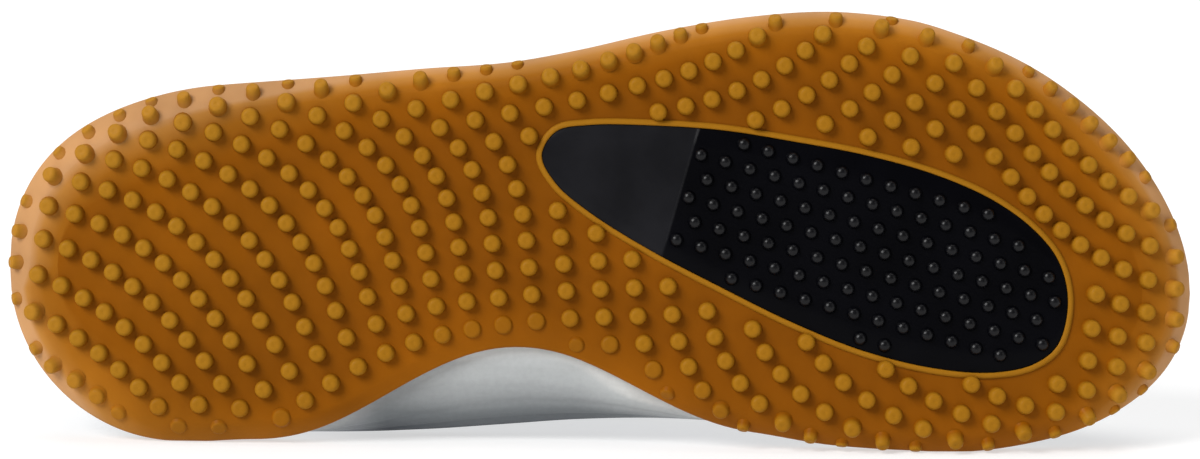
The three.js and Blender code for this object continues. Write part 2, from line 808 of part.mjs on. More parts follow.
function strap(from, to) {
  const steps = 4;
  const skin = new Skin();
  const rings = [];
  const low = -(eyestayStep + laceGap);
  for (let k = 0; k <= steps; k += 1) {
    const t = k / steps;
    const at = mix(from.at, to.at, t);
    const across = mix(from.across, to.across, t);
    const ahead = laceWidth / 2 / soleLength;
    rings.push([
      overLast(at - ahead, across, low),
      overLast(at + ahead, across, low),
      overLast(at + ahead, across, low - laceThickness),
      overLast(at - ahead, across, low - laceThickness),
    ]);
  }
  for (let k = 1; k <= steps; k += 1) skin.band(rings[k - 1], rings[k]);
  skin.quad(...rings[0].slice().reverse());
  skin.quad(...rings[steps]);
  return skin.solid();
}

function buildLaces() {
  const ends = eyeletPlaces().map(({ at, side }) => {
    return { at, across: side * (throatHalfGap(at, side) + eyeletInset) };
  });
  const straps = [];
  for (let row = 0; row < laceRows - 1; row += 1) {
    straps.push(strap(ends[2 * row], ends[2 * row + 3]));
    straps.push(strap(ends[2 * row + 1], ends[2 * row + 2]));
  }
  return joinAll(straps);
}

// Floor under the shoe as it lies: through the lowest places of the front and
// back of the sole and of the upper, found by trying again from each answer.
function pointsOf(solid) {
  const values = solid.getMesh().vertProperties;
  const points = [];
  for (let k = 0; k < values.length; k += 3) points.push(new THREE.Vector3().fromArray(values, k));
  return points;
}

function findFloor(outsole, midsole, upper) {
  const sole = [...pointsOf(outsole), ...pointsOf(midsole)];
  const groups = [
    sole.filter((point) => point.x > soleLength / 2),
    sole.filter((point) => point.x <= soleLength / 2),
    pointsOf(upper),
  ];
  const lowest = (points, way) => points.reduce((best, point) => {
    return point.dot(way) > best.dot(way) ? point : best;
  });
  const way = new THREE.Vector3(0, 1, 0);
  let [front, back, side] = groups.map((points) => lowest(points, way));
  for (let k = 0; k < 12; k += 1) {
    way.crossVectors(front.clone().sub(back), side.clone().sub(back)).normalize();
    if (way.y < 0) way.negate();
    [front, back, side] = groups.map((points) => lowest(points, way));
  }
  return { way, front, back };
}

// Turn that lays the shoe down, and the block below the floor.
const outsoleSolid = buildOutsole();
const midsoleSolid = buildMidsole();
const upperSolid = buildUpper();
const floor = findFloor(outsoleSolid, midsoleSolid, upperSolid);
const axisX = floor.front.clone().sub(floor.back);
axisX.addScaledVector(floor.way, -axisX.dot(floor.way)).normalize();
const axisZ = floor.way.clone().negate();
const axisY = new THREE.Vector3().crossVectors(axisZ, axisX);
const fromFloor = new THREE.Matrix4().makeBasis(axisX, axisY, axisZ);

function floorBlock() {
  const size = 2 * soleLength;
  const block = new THREE.BoxGeometry(size, size, size);
  const height = axisZ.dot(floor.back) + contactDepth;
  block.translate(axisX.dot(floor.back), axisY.dot(floor.back), height - size / 2);
  block.applyMatrix4(fromFloor);
  return solidFromGeometry(block);
}

const below = floorBlock();
const gumColor = 0x9a5a1a;
const lightFoam = 0xc9cdcb;
const lightCloth = 0xbfc4c8;

const pieces = [
  meshOf('outsole', outsoleSolid.subtract(below), gumColor, 0.55),
  meshOf('sole_pad', buildPad(), 0x0b0b0d, 0.5),
  meshOf('midsole', midsoleSolid.subtract(below), lightFoam, 0.7),
  meshOf('upper', upperSolid.subtract(below), lightCloth, 0.85),
  meshOf('tongue', buildTongue(), 0xb6bbc0, 0.9),
  meshOf('insole', buildInsole(), 0x8e949a, 0.9),
  meshOf('laces', buildLaces(), 0xe6e7e6, 0.9),
];

// The shoe, laid on its inner side and centred over the origin.
const shoe = new THREE.Group();
shoe.add(...pieces);
shoe.quaternion.setFromRotationMatrix(fromFloor.clone().transpose());
const turfShoe = new THREE.Group();
turfShoe.add(shoe);
turfShoe.updateMatrixWorld(true);
const bounds = new THREE.Box3().setFromObject(turfShoe, true);
const centre = bounds.getCenter(new THREE.Vector3());
shoe.position.set(-centre.x, -centre.y, -bounds.min.z);
turfShoe.updateMatrixWorld(true);

export default turfShoe;
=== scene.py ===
# Looks of the turf shoe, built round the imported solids.
# The forms are worked out in the shoe's own frame, in millimetres: x from heel
# to toe, y towards the medial side, z up from the ground it would be worn on.
# laid_down() then turns them as the solids lie, in metres.

import math

import bmesh
import bpy
from mathutils import Euler, Matrix, Quaternion, Vector


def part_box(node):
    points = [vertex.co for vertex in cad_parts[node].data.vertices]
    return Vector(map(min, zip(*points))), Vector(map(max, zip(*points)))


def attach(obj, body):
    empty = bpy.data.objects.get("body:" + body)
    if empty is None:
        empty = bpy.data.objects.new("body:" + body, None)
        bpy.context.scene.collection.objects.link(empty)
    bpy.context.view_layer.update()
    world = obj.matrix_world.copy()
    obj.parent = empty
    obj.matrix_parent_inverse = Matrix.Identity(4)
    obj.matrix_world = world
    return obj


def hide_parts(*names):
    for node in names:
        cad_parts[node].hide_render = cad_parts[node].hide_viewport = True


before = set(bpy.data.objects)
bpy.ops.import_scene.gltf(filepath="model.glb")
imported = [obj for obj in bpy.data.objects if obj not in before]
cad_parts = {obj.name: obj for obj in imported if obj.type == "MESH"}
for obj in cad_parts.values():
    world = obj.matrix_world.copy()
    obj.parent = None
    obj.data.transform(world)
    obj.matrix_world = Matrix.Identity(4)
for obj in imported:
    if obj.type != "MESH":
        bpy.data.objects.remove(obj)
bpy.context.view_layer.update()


def table(names, *rows):
    """Rows with named columns."""
    return [dict(zip(names.split(), row)) for row in rows]


# Sole in plan
SOLE_LENGTH = 300
BALL_WIDTH = 109.5
WAIST_WIDTH = 93.5
HEEL_WIDTH = 90
HEEL_ROUND = 53
HEEL_SHAPE = 2.15
TOE_ROUND = 81
ARCH_CUT = 21.5
ARCH_CENTRE = 0.42
ARCH_REACH = 0.21

# Sole from the side
TOE_SPRING = 12
HEEL_BEVEL = 4
HEEL_STACK = 25
FORE_STACK = 16
SPRING_START = 0.68
BEVEL_END = 0.12
DROP_START = 0.2
DROP_END = 0.72

# Outsole and studs
PLATE = 3
CUP_HEIGHT = 9.5
CUP_WALL = 2.6
WALL_INSET = 0.6
ROLL_WIDTH = 6
ROLL_RISE = 4.6
ROLL_SHAPE = 1.6
ARCH_LIP = 0.5
ARCH_ROLL = 0.6
STUD_WIDTH = 4.3
STUD_HEIGHT = 3
STUD_MARGIN = 2.6
EDGE_TURN = 10
EDGE_STUD_PROUD = 0.2
PAD_PROUD = 0.4
PAD_RIM_WIDTH = 1.2
PAD_RIM_HEIGHT = 0.8

# Upper, tongue, insole and laces
UPPER_WALL = 2.2
INSTEP_HEIGHT = 76
HEEL_HEIGHT = 62
TOE_HEIGHT = 30
BELLY_HEIGHT = 24
BELLY_LIMIT = 0.42
BELLY_SHARE = 0.25
FEATHER_TUCK = 2
HEEL_LEAN = 12
HEEL_LEAN_END = 0.25
HEEL_HOLLOW = 0.35
INSTEP_LEAN = 4
SECTION_SHAPE = 2.2
THROAT_FRONT = 0.745
EYESTAY_STEP = 0.8
TONGUE_THICKNESS = 4
TONGUE_WIDTH = 52
TONGUE_RISE = 18
TONGUE_GAP = 1.1
INSOLE_THICKNESS = 4.5
EYELET_BORE = 4.4
EYELET_INSET = 6
LACE_ROWS = 6
TOP_EYELET = 0.45
LOW_EYELET = 0.695
LACE_WIDTH = 7
LACE_THICKNESS = 1.4
LACE_GAP = 0.9
SEAT_GAP = 0.3
SIDE_GAP = 0.5

LATERAL = -1
MEDIAL = 1

# How the shoe lies on its medial side: turns about X, Y and Z, in degrees.
LIE_ROLL = -94.447
LIE_PITCH = -0.516
LIE_YAW = -0.464

# Each station along the sole: centre line as a share of the ball width, and
# the shares of the three named widths that make up the width there.
SOLE = table(
    "at centre heel waist ball",
    (0.0, 0.082, 1, 0, 0),
    (0.1, 0.089, 1, 0, 0),
    (0.2, 0.07, 0.9, 0.1, 0),
    (0.28, 0.062, 0.3, 0.7, 0),
    (0.35, 0.049, 0, 1, 0),
    (0.42, 0.034, 0, 1, 0),
    (0.48, 0.013, 0, 0.88, 0.12),
    (0.55, -0.011, 0, 0.6, 0.4),
    (0.62, -0.022, 0, 0.3, 0.7),
    (0.69, -0.014, 0, 0, 1),
    (0.76, 0.002, 0, 0, 1),
    (0.8, 0.02, 0, 0, 1),
    (0.86, 0.046, 0, 0, 1),
    (0.9, 0.068, 0, 0, 1),
    (0.95, 0.098, 0, 0, 1),
    (1.0, 0.137, 0, 0, 1),
)

# Each section of the upper: shares of the three named heights, half width of
# the opening as a share of the section's, and inset from the sole's outline.
UPPER = table(
    "at heel instep toe gap inset",
    (0.0, 1, 0, 0, 0.86, 5),
    (0.05, 0.97, 0, 0, 0.87, 4.5),
    (0.12, 0.88, 0, 0, 0.87, 3.5),
    (0.21, 0.8, 0, 0, 0.87, 3),
    (0.3, 0.6, 0.22, 0, 0.84, 3),
    (0.36, 0.3, 0.56, 0, 0.75, 3),
    (0.4, 0.1, 0.86, 0, 0.56, 3),
    (0.43, 0, 0.98, 0, 0.34, 3),
    (0.48, 0, 0.92, 0, 0.26, 3.5),
    (0.56, 0, 0.77, 0, 0.23, 4),
    (0.64, 0, 0.66, 0, 0.22, 4.5),
    (0.7, 0, 0.6, 0, 0.2, 4.5),
    (0.735, 0, 0.58, 0, 0.13, 4.5),
    (0.745, 0, 0.57, 0, 0, 4.5),
    (0.82, 0, 0.38, 0.37, 0, 4.5),
    (0.89, 0, 0.2, 0.72, 0, 4.5),
    (0.94, 0, 0, 1, 0, 4.5),
    (0.975, 0, 0, 0.78, 0, 4),
    (1.0, 0, 0, 0.45, 0, 4),
)

# Guide lines of studs across the sole. The four places on each are shares of
# the sole's length and of the ball width, from the lateral edge in.
GUIDE_SLOTS = (-9, -4, 1, 6)
GUIDE_STEP = 6
GUIDE_SLANT = 0.4
GUIDE_REACH = dict(line=(-11, 33), slot=(-14, 10))
STUD_ROWS = range(-14, 27)
STUD_STEPS = range(-20, 45)
EDGE_LIMIT = 1.2
FLAT_EDGE = (0.04, 0.6)
STUD_GUIDES = table(
    "line along across",
    (-8, (-0.12, -0.05, 0.005, 0.07), (-0.09, 0.09, 0.36, 0.7)),
    (-2, (0.065, 0.135, 0.15, 0.18), (-0.31, -0.13, 0.165, 0.54)),
    (4, (0.255, 0.335, 0.31, 0.305), (-0.475, -0.21, 0.09, 0.52)),
    (10, (0.465, 0.505, 0.45, 0.45), (-0.475, -0.155, 0.175, 0.5)),
    (16, (0.63, 0.645, 0.605, 0.635), (-0.455, -0.055, 0.29, 0.555)),
    (22, (0.755, 0.8, 0.805, 0.85), (-0.485, -0.08, 0.255, 0.485)),
    (28, (0.885, 0.925, 0.97, 1.04), (-0.575, -0.23, 0.065, 0.265)),
)

# Each station of the forefoot pad: its edges as shares of the ball width.
PAD = table(
    "at lateral medial",
    (0.45, -0.18, -0.18),
    (0.462, -0.235, -0.115),
    (0.49, -0.25, -0.05),
    (0.54, -0.25, 0.035),
    (0.6, -0.24, 0.12),
    (0.66, -0.215, 0.2),
    (0.72, -0.185, 0.265),
    (0.78, -0.14, 0.305),
    (0.83, -0.08, 0.315),
    (0.865, -0.01, 0.295),
    (0.885, 0.06, 0.25),
    (0.893, 0.15, 0.15),
)

# Edges down the midsole's side: height as a share of the way from the cup's
# rim to the top, inset, and the share of the arch's cut-out it follows.
MIDSOLE_SIDE = table(
    "at inset cut",
    (0.0, 0.6, 1.0),
    (0.14, 1.0, 0.55),
    (0.38, 1.2, 0.2),
    (0.7, 1.4, 0.0),
    (0.93, 1.8, 0.0),
    (1.0, 3.0, 0.0),
)


# Numbers

def clamp(value, low=0.0, high=1.0):
    return min(max(value, low), high)


def mix(a, b, share):
    return a + (b - a) * share


def smoothstep(value, low, high):
    t = clamp((value - low) / (high - low))
    return t * t * (3 - 2 * t)


def column(rows, name, at):
    """Smooth value of one column of a table, at a share of the way along it."""
    end = len(rows) - 1
    place = clamp(at, rows[0]["at"], rows[end]["at"])
    k = 0
    while k < end - 1 and place > rows[k + 1]["at"]:
        k += 1

    def slope(n):
        before = rows[max(n - 1, 0)]
        after = rows[min(n + 1, end)]
        return (after[name] - before[name]) / (after["at"] - before["at"])

    span = rows[k + 1]["at"] - rows[k]["at"]
    t = (place - rows[k]["at"]) / span
    rise = rows[k + 1][name] - rows[k][name]
    lean = slope(k) * span
    leave = slope(k + 1) * span
    curve = t * lean + t * t * (3 * rise - 2 * lean - leave)
    return rows[k][name] + curve + t * t * t * (lean + leave - 2 * rise)


# Form of the sole

def spring_rise(x):
    toe = max((x / SOLE_LENGTH - SPRING_START) / (1 - SPRING_START), 0)
    return TOE_SPRING * toe * toe


def ground_lift(x):
    heel = max(1 - x / (BEVEL_END * SOLE_LENGTH), 0)
    return spring_rise(x) + HEEL_BEVEL * heel * heel


def top_height(x):
    drop = smoothstep(x / SOLE_LENGTH, DROP_START, DROP_END)
    return mix(HEEL_STACK, FORE_STACK, drop) + spring_rise(x)


def arch_bell(at):
    away = clamp((at - ARCH_CENTRE) / ARCH_REACH, -1, 1)
    return math.cos(away * math.pi / 2) ** 2


def full_half_width(at):
    heel = column(SOLE, "heel", at) * HEEL_WIDTH
    waist = column(SOLE, "waist", at) * WAIST_WIDTH
    ball = column(SOLE, "ball", at) * BALL_WIDTH
    return (heel + waist + ball) / 2


def centre_line(at):
    return column(SOLE, "centre", at) * BALL_WIDTH


def end_round(at):
    x = at * SOLE_LENGTH
    heel = clamp(1 - x / HEEL_ROUND)
    toe = clamp(1 - (SOLE_LENGTH - x) / TOE_ROUND)
    return (1 - heel ** HEEL_SHAPE) ** (1 / HEEL_SHAPE) * math.sqrt(1 - toe * toe)


def plan_point(at, side, inset, cut):
    """Point of the sole's outline, moved in by inset, with a share of the arch's cut-out."""
    full = full_half_width(at)
    half = full * end_round(at) * (1 - inset / full)
    hollow = cut * ARCH_CUT * arch_bell(at) if side == MEDIAL else 0
    x = SOLE_LENGTH * at + inset * (1 - 2 * at)
    return x, centre_line(at) + side * half - hollow


def arch_fade(at, side):
    return min(1, 2 * arch_bell(at)) if side == MEDIAL else 0


def cup_top(at, side):
    return mix(CUP_HEIGHT, PLATE + ARCH_LIP, arch_fade(at, side))


def edge_rise(at, side):
    return mix(ROLL_RISE, PLATE * ARCH_ROLL, arch_fade(at, side))


def is_inside(x, y, inset):
    at = (x - inset) / (SOLE_LENGTH - 2 * inset)
    if at <= 0 or at >= 1:
        return False
    return plan_point(at, LATERAL, inset, 1)[1] < y < plan_point(at, MEDIAL, inset, 1)[1]


def edge_distance(x, y, most, least=0.0):
    """How far a place lies in from the outline; outside it, less than nothing."""
    near, far = least, most
    if is_inside(x, y, far):
        return far
    for _ in range(12):
        middle = (near + far) / 2
        if is_inside(x, y, middle):
            near = middle
        else:
            far = middle
    return near


def side_of(x, y):
    return MEDIAL if y > centre_line(x / SOLE_LENGTH) else LATERAL


def underside(x, y):
    turned = clamp(1 - edge_distance(x, y, ROLL_WIDTH + 2) / ROLL_WIDTH)
    rise = edge_rise(x / SOLE_LENGTH, side_of(x, y))
    return ground_lift(x) + rise * turned ** ROLL_SHAPE


def underside_normal(x, y):
    reach = 1.2
    slope_x = (underside(x + reach, y) - underside(x - reach, y)) / (2 * reach)
    slope_y = (underside(x, y + reach) - underside(x, y - reach)) / (2 * reach)
    return Vector((slope_x, slope_y, -1)).normalized()


# Places of the studs

def across_guide(values, slot):
    total = 0
    for a, value in enumerate(values):
        share = 1
        for b, other in enumerate(GUIDE_SLOTS):
            if a != b:
                share *= (slot - other) / (GUIDE_SLOTS[a] - other)
        total += value * share
    return total


def along_guides(values, line):
    end = len(values) - 1
    place = (line - STUD_GUIDES[0]["line"]) / GUIDE_STEP
    k = clamp(math.floor(place), 0, end - 1)
    t = place - k
    before = values[k - 1] if k > 0 else 2 * values[0] - values[1]
    after = values[k + 2] if k < end - 1 else 2 * values[end] - values[end - 1]
    a, b = values[k], values[k + 1]
    bend = 2 * before - 5 * a + 4 * b - after
    twist = 3 * a - before - 3 * b + after
    return a + t * (b - before + t * (bend + t * twist)) / 2


def in_guides(line, slot):
    low_line, high_line = GUIDE_REACH["line"]
    low_slot, high_slot = GUIDE_REACH["slot"]
    return low_line < line < high_line and low_slot < slot < high_slot


def round_the_edge(x, y):
    """Place of a stud once its row has followed the sole round its edge; None where it is out of sight.

    Along the medial heel and the arch the rows don't turn: they end at a margin.
    """
    if side_of(x, y) == MEDIAL and FLAT_EDGE[0] < x / SOLE_LENGTH < FLAT_EDGE[1]:
        return (x, y) if is_inside(x, y, STUD_MARGIN) else None
    inset = edge_distance(x, y, EDGE_TURN, -EDGE_TURN)
    if inset >= EDGE_TURN:
        return x, y
    turned = (EDGE_TURN - inset) / EDGE_TURN
    if turned > EDGE_LIMIT:
        return None
    share = (x - inset) / (SOLE_LENGTH - 2 * inset)
    return plan_point(share, side_of(x, y), EDGE_TURN * (1 - math.sin(turned)), 1)


def outward(x, y):
    """Way out of the sole in plan at a place near its edge."""
    reach = 1.5
    slope_x = edge_distance(x + reach, y, 20, -5) - edge_distance(x - reach, y, 20, -5)
    slope_y = edge_distance(x, y + reach, 20, -5) - edge_distance(x, y - reach, 20, -5)
    return Vector((-slope_x, -slope_y, 0)).normalized()


def stud_places():
    places = []
    for row in STUD_ROWS:
        for step in STUD_STEPS:
            line = step + (0 if row % 2 == 0 else 0.5)
            slot = row - 1 - GUIDE_SLANT * (line + 4)
            if not in_guides(line, slot):
                continue
            along = [across_guide(guide["along"], slot) for guide in STUD_GUIDES]
            across = [across_guide(guide["across"], slot) for guide in STUD_GUIDES]
            x = along_guides(along, line) * SOLE_LENGTH
            y = along_guides(across, line) * BALL_WIDTH
            place = round_the_edge(x, y)
            if place:
                places.append(place)
    return places


def pad_ring():
    """Corners of the pad's outline: along the lateral edge and back along the medial."""
    lateral = [(row["at"] * SOLE_LENGTH, row["lateral"] * BALL_WIDTH) for row in PAD]
    medial = [(row["at"] * SOLE_LENGTH, row["medial"] * BALL_WIDTH) for row in PAD[1:-1]]
    return lateral + medial[::-1]


def is_on_pad(x, y):
    at = x / SOLE_LENGTH
    if at < PAD[0]["at"] or at > PAD[-1]["at"]:
        return False
    low = column(PAD, "lateral", at) * BALL_WIDTH
    high = column(PAD, "medial", at) * BALL_WIDTH
    return low < y < high


def is_near_rim(x, y, reach):
    """Whether a place lies within reach of the pad's outline."""
    return any(math.hypot(x - point.x, y - point.y) < reach for point in PAD_OUTLINE)


# Form of the last

def gap_share(at):
    return max(column(UPPER, "gap", at), 0)


def ridge_shift(at):
    return INSTEP_LEAN * smoothstep(at, 0.3, 0.5) * (1 - smoothstep(at, 0.6, 0.85))


def lean_back(at, point, low):
    near = clamp(1 - at / HEEL_LEAN_END)
    share = (point.z - low) / HEEL_HEIGHT
    point.x += HEEL_LEAN * near * near * (share * share - HEEL_HOLLOW * share)
    return point


def last_point(at, side, turn, depth):
    """Point of the upper's section: turn is 0 at the feather edge and 1 at the opening or ridge."""
    inset = column(UPPER, "inset", at) + depth
    tucked_y = plan_point(at, side, inset + FEATHER_TUCK, 0)[1]
    wide_x, wide_y = plan_point(at, side, inset, 0)
    middle = centre_line(at)
    low = top_height(wide_x) + SEAT_GAP
    rise = (column(UPPER, "heel", at) * HEEL_HEIGHT
            + column(UPPER, "instep", at) * INSTEP_HEIGHT
            + column(UPPER, "toe", at) * TOE_HEIGHT)
    belly = min(BELLY_HEIGHT, rise * BELLY_LIMIT)
    gap = gap_share(at)
    if turn <= BELLY_SHARE:
        t = turn / BELLY_SHARE
        y = mix(tucked_y, wide_y, 1 - (1 - t) ** 2)
        return lean_back(at, Vector((wide_x, y, low + belly * t)), low)
    arch = (1 - gap ** SECTION_SHAPE) ** (1 / SECTION_SHAPE)
    crown = (rise - belly) / arch - depth
    edge_turn = math.asin(clamp(gap ** (SECTION_SHAPE / 2)))
    angle = mix(math.pi / 2, edge_turn, (turn - BELLY_SHARE) / (1 - BELLY_SHARE))
    out = max(math.sin(angle), 0) ** (2 / SECTION_SHAPE)
    up = max(math.cos(angle), 0) ** (2 / SECTION_SHAPE)
    y = middle + (wide_y - middle) * out + ridge_shift(at) * up
    return lean_back(at, Vector((wide_x, y, low + belly + crown * up)), low)


def over_last(at, across, depth):
    """Point over the last's form at a distance across from the ridge line."""
    side = LATERAL if across < 0 else MEDIAL
    edge = last_point(at, side, 1, depth)
    wide = last_point(at, side, BELLY_SHARE, depth)
    gap = gap_share(at)
    middle = centre_line(at)
    crown = (edge.z - wide.z) / (1 - gap ** SECTION_SHAPE) ** (1 / SECTION_SHAPE)
    out = clamp(abs(across) / abs(wide.y - middle), 0, 0.98)
    up = (1 - out ** SECTION_SHAPE) ** (1 / SECTION_SHAPE)
    return Vector((edge.x, middle + across + ridge_shift(at) * up, wide.z + crown * up))


def throat_half_gap(at, side):
    wide = last_point(at, side, BELLY_SHARE, 0)
    return gap_share(at) * abs(wide.y - centre_line(at))


# Placing

def pad_corners():
    low = [(x, y, ground_lift(x) - PAD_PROUD) for x, y in pad_ring()]
    high = [(x, y, z + PAD_PROUD + 1) for x, y, z in low]
    return [Vector(corner) for corner in low + high]


def laid_down():
    """Matrix from the shoe's frame to the model's, found from where the pad's solid lies."""
    angles = [math.radians(angle) for angle in (LIE_ROLL, LIE_PITCH, LIE_YAW)]
    turn = Euler(angles, "XYZ").to_matrix().to_4x4() @ Matrix.Scale(0.001, 4)
    turned = [turn @ corner for corner in pad_corners()]
    low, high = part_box("sole_pad")
    shift = [(low[n] + high[n] - min(p[n] for p in turned) - max(p[n] for p in turned)) / 2
             for n in range(3)]
    return Matrix.Translation(shift) @ turn


PLACE = laid_down()


# Meshes

class Sheet:
    """Vertices, faces and named numbers for each vertex, in the shoe's frame."""

    def __init__(self, *names):
        self.points = []
        self.faces = []
        self.paints = []
        self.paint = 0
        self.numbers = {name: [] for name in names}

    def add(self, point, **numbers):
        self.points.append(Vector(point))
        for name, values in self.numbers.items():
            values.append(numbers.get(name, 0.0))
        return len(self.points) - 1

    def face(self, *corners):
        self.faces.append(corners)
        self.paints.append(self.paint)

    def grid(self, rows, closed=False, flip=False):
        """Quads between rows of vertex numbers; closed joins each row's ends."""
        for near, far in zip(rows, rows[1:]):
            count = len(near) if closed else len(near) - 1
            for k in range(count):
                n = (k + 1) % len(near)
                corners = (near[k], near[n], far[n], far[k])
                self.face(*(corners[::-1] if flip else corners))

    def fan(self, ring, point, **numbers):
        tip = self.add(point, **numbers)
        for k, corner in enumerate(ring):
            self.face(corner, ring[(k + 1) % len(ring)], tip)

    def circle(self, centre, turn, radius, rise, sides, **numbers):
        """Ring of vertices round a centre, raised and turned from the level."""
        ring = []
        for k in range(sides):
            angle = 2 * math.pi * k / sides
            offset = Vector((math.cos(angle) * radius, math.sin(angle) * radius, rise))
            ring.append(self.add(centre + turn @ offset, **numbers))
        return ring

    def tube(self, rings):
        """Tube through closed rings, with a face over each end."""
        self.grid(rings, closed=True)
        self.face(*rings[0][::-1])
        self.face(*rings[-1])


def linked(name, data):
    """New object in the scene."""
    made = bpy.data.objects.new(name, data)
    bpy.context.scene.collection.objects.link(made)
    return made


def make(name, sheet, materials, nodes, weld=0.0, closed=True):
    """One mesh from a sheet, laid down; what would reach below the floor is pressed flat on it."""
    laid = [PLACE @ point for point in sheet.points]
    for point in laid:
        point.z = max(point.z, 0)
    mesh = bpy.data.meshes.new(name)
    mesh.from_pydata(laid, [], sheet.faces)
    for attribute, values in sheet.numbers.items():
        layer = mesh.attributes.new(attribute, "FLOAT", "CORNER")
        layer.data.foreach_set("value", [values[corner] for face in sheet.faces for corner in face])
    mesh.polygons.foreach_set("material_index", sheet.paints)
    work = bmesh.new()
    work.from_mesh(mesh)
    if weld:
        bmesh.ops.remove_doubles(work, verts=work.verts, dist=weld)
    if closed:
        bmesh.ops.recalc_face_normals(work, faces=work.faces)
    work.to_mesh(mesh)
    work.free()
    mesh.shade_smooth()
    piece = linked(name, mesh)
    for material in materials if isinstance(materials, tuple) else (materials,):
        mesh.materials.append(material)
    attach(piece, "root")
    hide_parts(*nodes)
    return piece


def end_spaced(count):
    """Shares from 0 to 1, closer together at both ends."""
    even = [k / (count - 1) for k in range(count)]
    return [mix(t, (1 - math.cos(math.pi * t)) / 2, 0.8) for t in even]


def smooth_ring(corners, steps):
    """Closed smooth curve through a ring of corners, with steps points for each."""
    ring = []
    count = len(corners)
    for k in range(count):
        p0, p1, p2, p3 = (Vector(corners[(k + n) % count]) for n in (-1, 0, 1, 2))
        d1 = max((p1 - p0).length, 1e-6) ** 0.5
        d2 = max((p2 - p1).length, 1e-6) ** 0.5
        d3 = max((p3 - p2).length, 1e-6) ** 0.5
        lean1 = ((p1 - p0) / d1 - (p2 - p0) / (d1 + d2) + (p2 - p1) / d2) * d2
        lean2 = ((p2 - p1) / d2 - (p3 - p1) / (d2 + d3) + (p3 - p2) / d3) * d2
        for step in range(steps):
            t = step / steps
            ring.append((2 * t ** 3 - 3 * t ** 2 + 1) * p1 + (t ** 3 - 2 * t ** 2 + t) * lean1
                        + (3 * t ** 2 - 2 * t ** 3) * p2 + (t ** 3 - t ** 2) * lean2)
    return ring


# Materials

MESH_PITCH = 2.6
OVERLAY_TONE = (0.3, 0.325, 0.36)
THREAD_TONE = (0.62, 0.64, 0.65)

# Factor and both colours among a Mix node's sockets
MIX_SOCKETS = (0, 6, 7)


